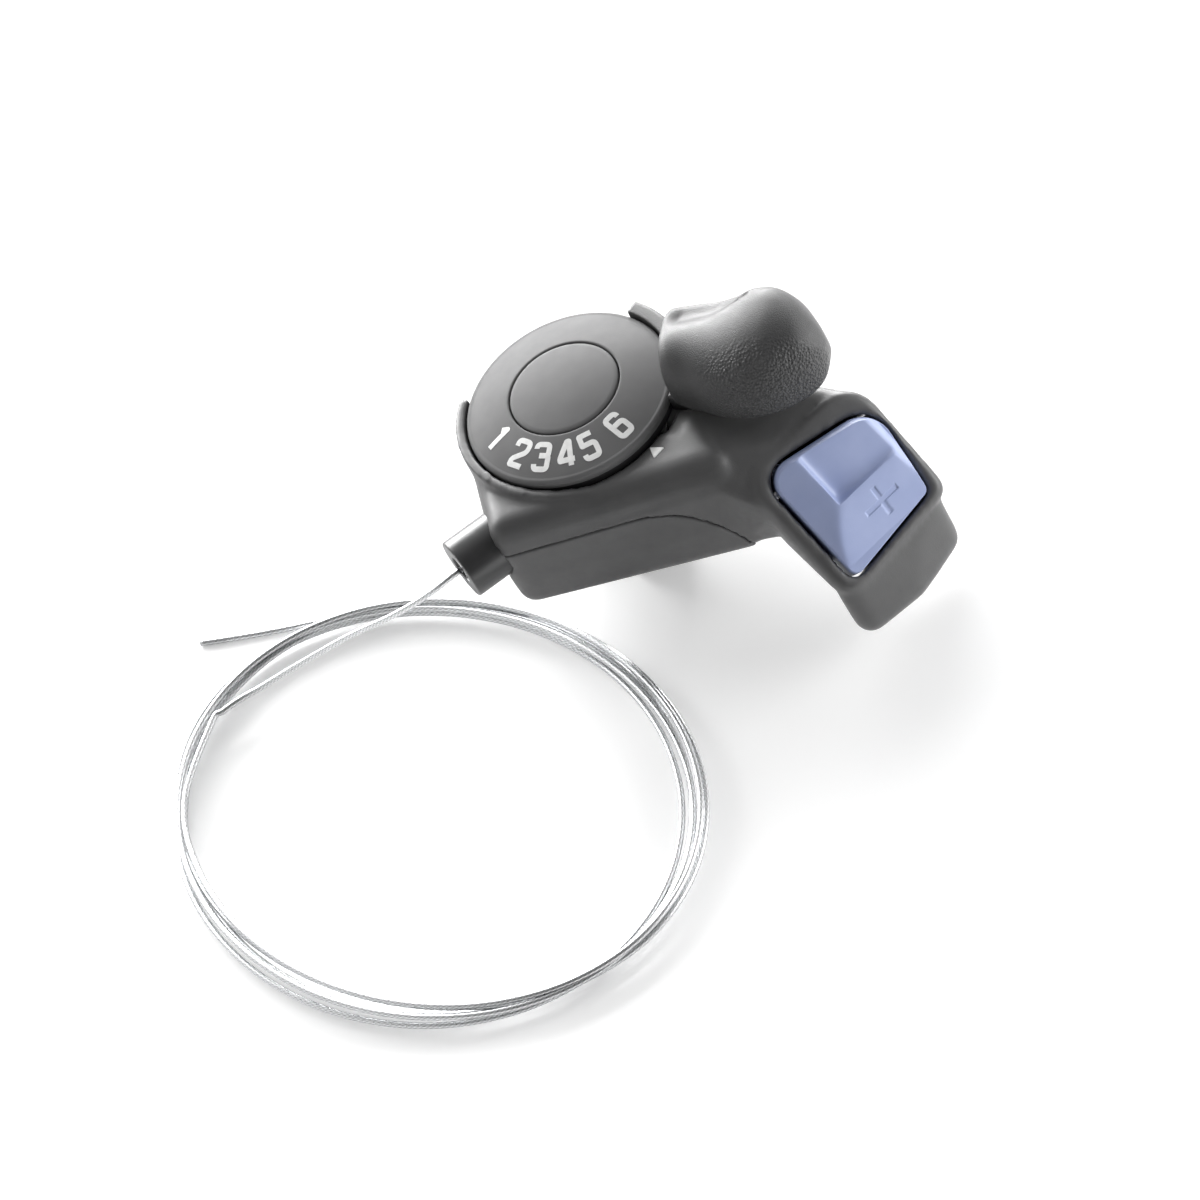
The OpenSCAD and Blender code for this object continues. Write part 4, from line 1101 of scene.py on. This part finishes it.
@dataclass
class ThumbLever:
    """The moulded thumb pad and the collar that carries it round the dial."""

    near_power: float = 0.86
    far_power: float = 0.66
    low_power: float = 0.5
    slope: float = 0.2
    full_height: float = 14.0
    dish: float = 2.0
    dish_from: float = 21.5
    dish_to: float = 40.0
    grain_from: float = 27.0
    columns: int = 176
    mark_place: tuple = (36.0, 5.6)
    mark_size: tuple = (6.6, 1.9)
    mark_depth: float = 0.4
    collar_back: float = math.radians(11.0)
    collar_turn: float = math.radians(73.0)
    # Sections along the lever: distance out, near side, crest, far side, bottom, widest height, top
    sections: tuple = (
        (20.6, 0.5, 3, 8, 31.5, 34.5, 38.4), (21.3, -4.9, 2.2, 11.2, 29.4, 34, 40.9),
        (23, -6.6, 1.6, 12, 28.7, 33.5, 42), (27, -8.4, 1.6, 12, 28.6, 33, 42.4),
        (31, -10.4, 1.8, 11.4, 28.5, 33, 43), (35.5, -11.6, 2.8, 10.6, 28.5, 33.2, 44.2),
        (40, -11.9, 4, 10, 28.5, 33.5, 45.3), (44.2, -11, 3.4, 9.2, 28.7, 33.8, 45.4),
        (47.9, -9, 1, 7, 29.2, 34, 43.8), (50.4, -7, -1, 3.6, 30.4, 34.4, 41.4),
        (51.8, -5, -1.8, 1, 32.2, 35, 39), (52.4, -3.2, -2, -0.6, 34.2, 35.6, 37),
    )

    def pad(self) -> Piece:
        """Returns the thumb pad.

        Each section has four rounded quarters about its crest and its widest height. Its top slopes
        down from the crest to the far side and is dished between; the minus mark is sunk into it.
        """
        s = smooth_table(np.array(self.sections, dtype=float), 14)
        a = -np.linspace(0, 2 * math.pi, self.columns, endpoint=False)[None, :]
        out, near, crest, far, low, middle, high = (s[:, k, None] for k in range(7))
        top_power = np.where(np.cos(a) > 0, self.near_power, self.far_power)
        power = np.where(np.sin(a) < 0, self.low_power, top_power)
        side = np.sign(np.cos(a)) * np.abs(np.cos(a)) ** power
        up = np.sign(np.sin(a)) * np.abs(np.sin(a)) ** power
        behind = (np.hypot(side, 0.25) - side - 0.25) / 2
        bulk = np.minimum(1, (high - low) / self.full_height)
        along = ease((out - self.dish_from) / 3) * ease((self.dish_to - out) / 9)
        sunk = self.dish * along * np.sin(math.pi * np.clip(behind * 1.15, 0, 1)) ** 2
        t = crest - side * np.where(side > 0, crest - near, far - crest)
        z = middle + up * np.where(up > 0, high - middle, middle - low)
        z = z - np.maximum(0, up) * bulk * (self.slope * behind * (far - crest) + sunk)
        du, dv = np.abs(out - self.mark_place[0]), np.abs(t - self.mark_place[1])
        inside = np.minimum(self.mark_size[0] / 2 - du, self.mark_size[1] / 2 - dv)
        z = z - np.where(up > 0, self.mark_depth * ease(inside / 0.3), 0)
        grid = along_lever(np.stack([out + 0 * t, t, z], axis=-1))
        near_face = ease(side / 0.4) * ease((0.97 - up) / 0.3) * ease((out - self.grain_from) / 9)
        piece = rings_piece("thumb_pad", grid, {"grain": near_face})
        return dress(piece, Finish.LEVER, Body.LEVER, "lever_plastic", "thumb_lever")

    def collar(self) -> Piece:
        """Returns the collar: a rounded bar bent round the dial's rim."""
        inner, outer, low, high = DIAL_R + 0.3, 23.2, 27.2, 31.0
        corners = [(inner, low, 0.3), (outer, low, 0.5), (outer, high, 0.9), (inner, high, 0.4)]
        profile = rounded_profile(corners, 5)
        section = lathe(profile, 60, LEVER_ANGLE - self.collar_back, self.collar_turn)
        piece = rings_piece("lever_collar", section)
        return dress(piece, Finish.LEVER, Body.LEVER, "lever_plastic")

    def build(self) -> None:
        """Makes the lever's pieces."""
        self.pad()
        self.collar()


# -------- button


@dataclass
class ReleaseButton:
    """The blue release button: a front slope with a plus mark, a ridge and a dished back."""

    depth: float = 5.0
    around: int = 220
    rings: int = 110
    middle: tuple = (-1.0, 0.0)
    mark_place: tuple = (0.95, -5.0)
    mark_arms: tuple = (8.0, 6.0)
    mark_width: float = 1.2
    mark_depth: float = 0.25
    # The crest between the front and the scoop, the ridge left of the scoop, and the flanks' feet
    crest_y: float = -0.3
    crest_z: float = 4.3
    back_z: float = 4.25
    ridge_x: float = -5.9
    left_x: float = -11.75
    right_x: float = 10.6
    scoop_mm: float = 4.6
    blend: float = 0.34
    rim_z: float = 0.3
    hollow_z: float = -1.2
    hollow: float = 0.93
    # The rounded corners of its outline: x, y, radius and steps of the arc
    corners: tuple = ((-7.4, 7.9, 4.3, 20), (-10.2, -10.4, 1.6, 14), (7.9, -8.4, 1.5, 14), (5.2, 3.6, 6.2, 24))

    def height(self, x: np.ndarray, y: np.ndarray) -> np.ndarray:
        """Height of the crown over the button's face frame.

        Args:
            x: places along the face.
            y: places up its slope.

        Returns:
            The soft least of four slopes: front, scooped back, left flank and right flank. The soft
            least of values v is minus blend times the logarithm of the sum of exp(-v / blend).
        """
        steep = 0.55 + 0.35 * ease((1.5 - y) / 9)
        behind = y - self.crest_y
        slopes = np.stack([
            self.crest_z + 0.37 * behind,
            self.back_z - self.scoop_mm * self.fall(behind) * self.fall(x - self.ridge_x),
            0.9 + steep * (x - self.left_x),
            1 + 1.5 * (self.right_x - x),
        ])
        return np.maximum(0.7, -self.blend * np.log(np.sum(np.exp(-slopes / self.blend), axis=0)))

    def fall(self, u: np.ndarray) -> np.ndarray:
        """How far the scoop has fallen at a distance u behind a crest: quickly down, slowly up again."""
        u = np.maximum(0, u)
        return (1 - np.exp(-u / 0.8)) * (0.35 + 0.65 * np.exp(-u / 5))

    def mark(self, x: np.ndarray, y: np.ndarray) -> np.ndarray:
        """How deep the plus mark is sunk at a place: two crossed bars with soft edges."""
        dx, dy = np.abs(x - self.mark_place[0]), np.abs(y - self.mark_place[1])
        half = self.mark_width / 2
        flat = np.minimum(self.mark_arms[0] / 2 - dx, half - dy)
        tall = np.minimum(half - dx, self.mark_arms[1] / 2 - dy)
        return self.mark_depth * ease(np.maximum(flat, tall) / 0.22)

    def inward(self, flat: np.ndarray, outline: np.ndarray) -> np.ndarray:
        """Distance of each point from the outline: the least of those from its straight sides."""
        side = np.roll(outline, -1, axis=0) - outline
        away = flat[:, :, None, :] - outline
        along = np.clip(np.sum(away * side, axis=-1) / np.sum(side * side, axis=-1), 0, 1)
        return np.min(np.linalg.norm(away - along[..., None] * side, axis=-1), axis=-1)

    def build(self) -> Piece:
        """Makes the button as rings that shrink from its outline to its middle, and returns it."""
        outline = even_outline(belt(list(self.corners)), self.around)
        middle = np.array(self.middle)
        w = 1 - np.linspace(0, 1, self.rings) ** 1.15 * 0.995
        flat = middle + w[:, None, None] * (outline - middle)
        x, y = flat[..., 0], flat[..., 1]
        inward = self.inward(flat, outline)
        crown = self.height(x, y) - self.mark(x, y)
        z = np.minimum(crown, self.rim_z + 2.4 * inward + 0.9 * ease(inward / 0.5))
        z[0] = self.rim_z
        inside = middle + self.hollow * (outline - middle)
        skirt = [
            np.column_stack([ring, np.full(self.around, level)])
            for ring, level in ((inside, self.hollow_z), (inside, -self.depth), (outline, -self.depth))
        ]
        grid = np.concatenate([np.stack(skirt), np.stack([x, y, z], axis=-1)])
        piece = rings_piece("plus_key", on_face(grid.reshape(-1, 3)).reshape(grid.shape))
        return dress(piece, Finish.BUTTON, Body.BUTTON, "blue_plastic", "plus_button")


# -------- small parts


@dataclass
class CableStop:
    """The short tube that the outer cable's end would sit in, here with the bare cable in it."""

    root: float = -23.2
    outer: float = 5.9
    bore: float = 2.6
    bore_deep: float = 5.0
    hole: float = 0.8

    def build(self) -> Piece:
        """Makes the stop as a profile turned about the cable's line, and returns it."""
        mouth, y, z = STOP_MOUTH
        seat = mouth + self.bore_deep
        profile = rounded_profile([
            (self.hole, seat, 0.1), (self.hole, self.root, 0.1), (self.outer, self.root, 0.2),
            (self.outer, mouth, 0.45), (self.bore, mouth, 0.3), (self.bore, seat, 0.2),
        ], 4)
        tube = lathe(profile, 128)
        grid = np.stack([tube[..., 2], tube[..., 1] + y, tube[..., 0] + z], axis=-1)
        piece = rings_piece("cable_stop_tube", grid, closed=True)
        return dress(piece, Finish.STOP, Body.HOUSING, "black_plastic", "cable_stop")


@dataclass(frozen=True)
class Mechanism:
    """The CAD nodes that keep their own mesh, with their finishes."""

    finishes: tuple = (
        (Finish.ZINC, ("axle_washer", "axle_nut", "clamp_nut", "housing_screws")),
        (Finish.HARD, ("main_axle", "pawl_pin", "crank_pin", "ratchet_wheel", "holding_pawl", "button_pin")),
        (Finish.SPRING, ("wave_washer", "pawl_spring", "button_spring", "cable_nipple", "cable_inner_run")),
        (Finish.BRASS, ("drum_bush",)),
        (Finish.NYLON, ("cable_drum",)),
        (Finish.BLACK_STEEL, ("clamp_band", "clamp_bolt", "lever_plate", "base_plate", "release_crank")),
    )

    def build(self) -> None:
        """Gives every kept node its finish."""
        for finish, names in self.finishes:
            for name in names:
                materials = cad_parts[name].data.materials
                materials.clear()
                materials.append(finish.material())
                LOG.info("%s: %s", name, finish.name.lower())


def main() -> None:
    """Builds the shifter in its studio."""
    logging.basicConfig(level=logging.INFO, format="%(name)s: %(message)s")
    Studio().build()
    ShiftCable().build()
    upper = Shell("upper_shell", "upper_housing", below=False).build()
    Shell("lower_shell", "lower_cover", below=True).build()
    Pointer().build(upper)
    Dial().build()
    ThumbLever().build()
    ReleaseButton().build()
    CableStop().build()
    Mechanism().build()


if __name__ == "__main__":
    main()
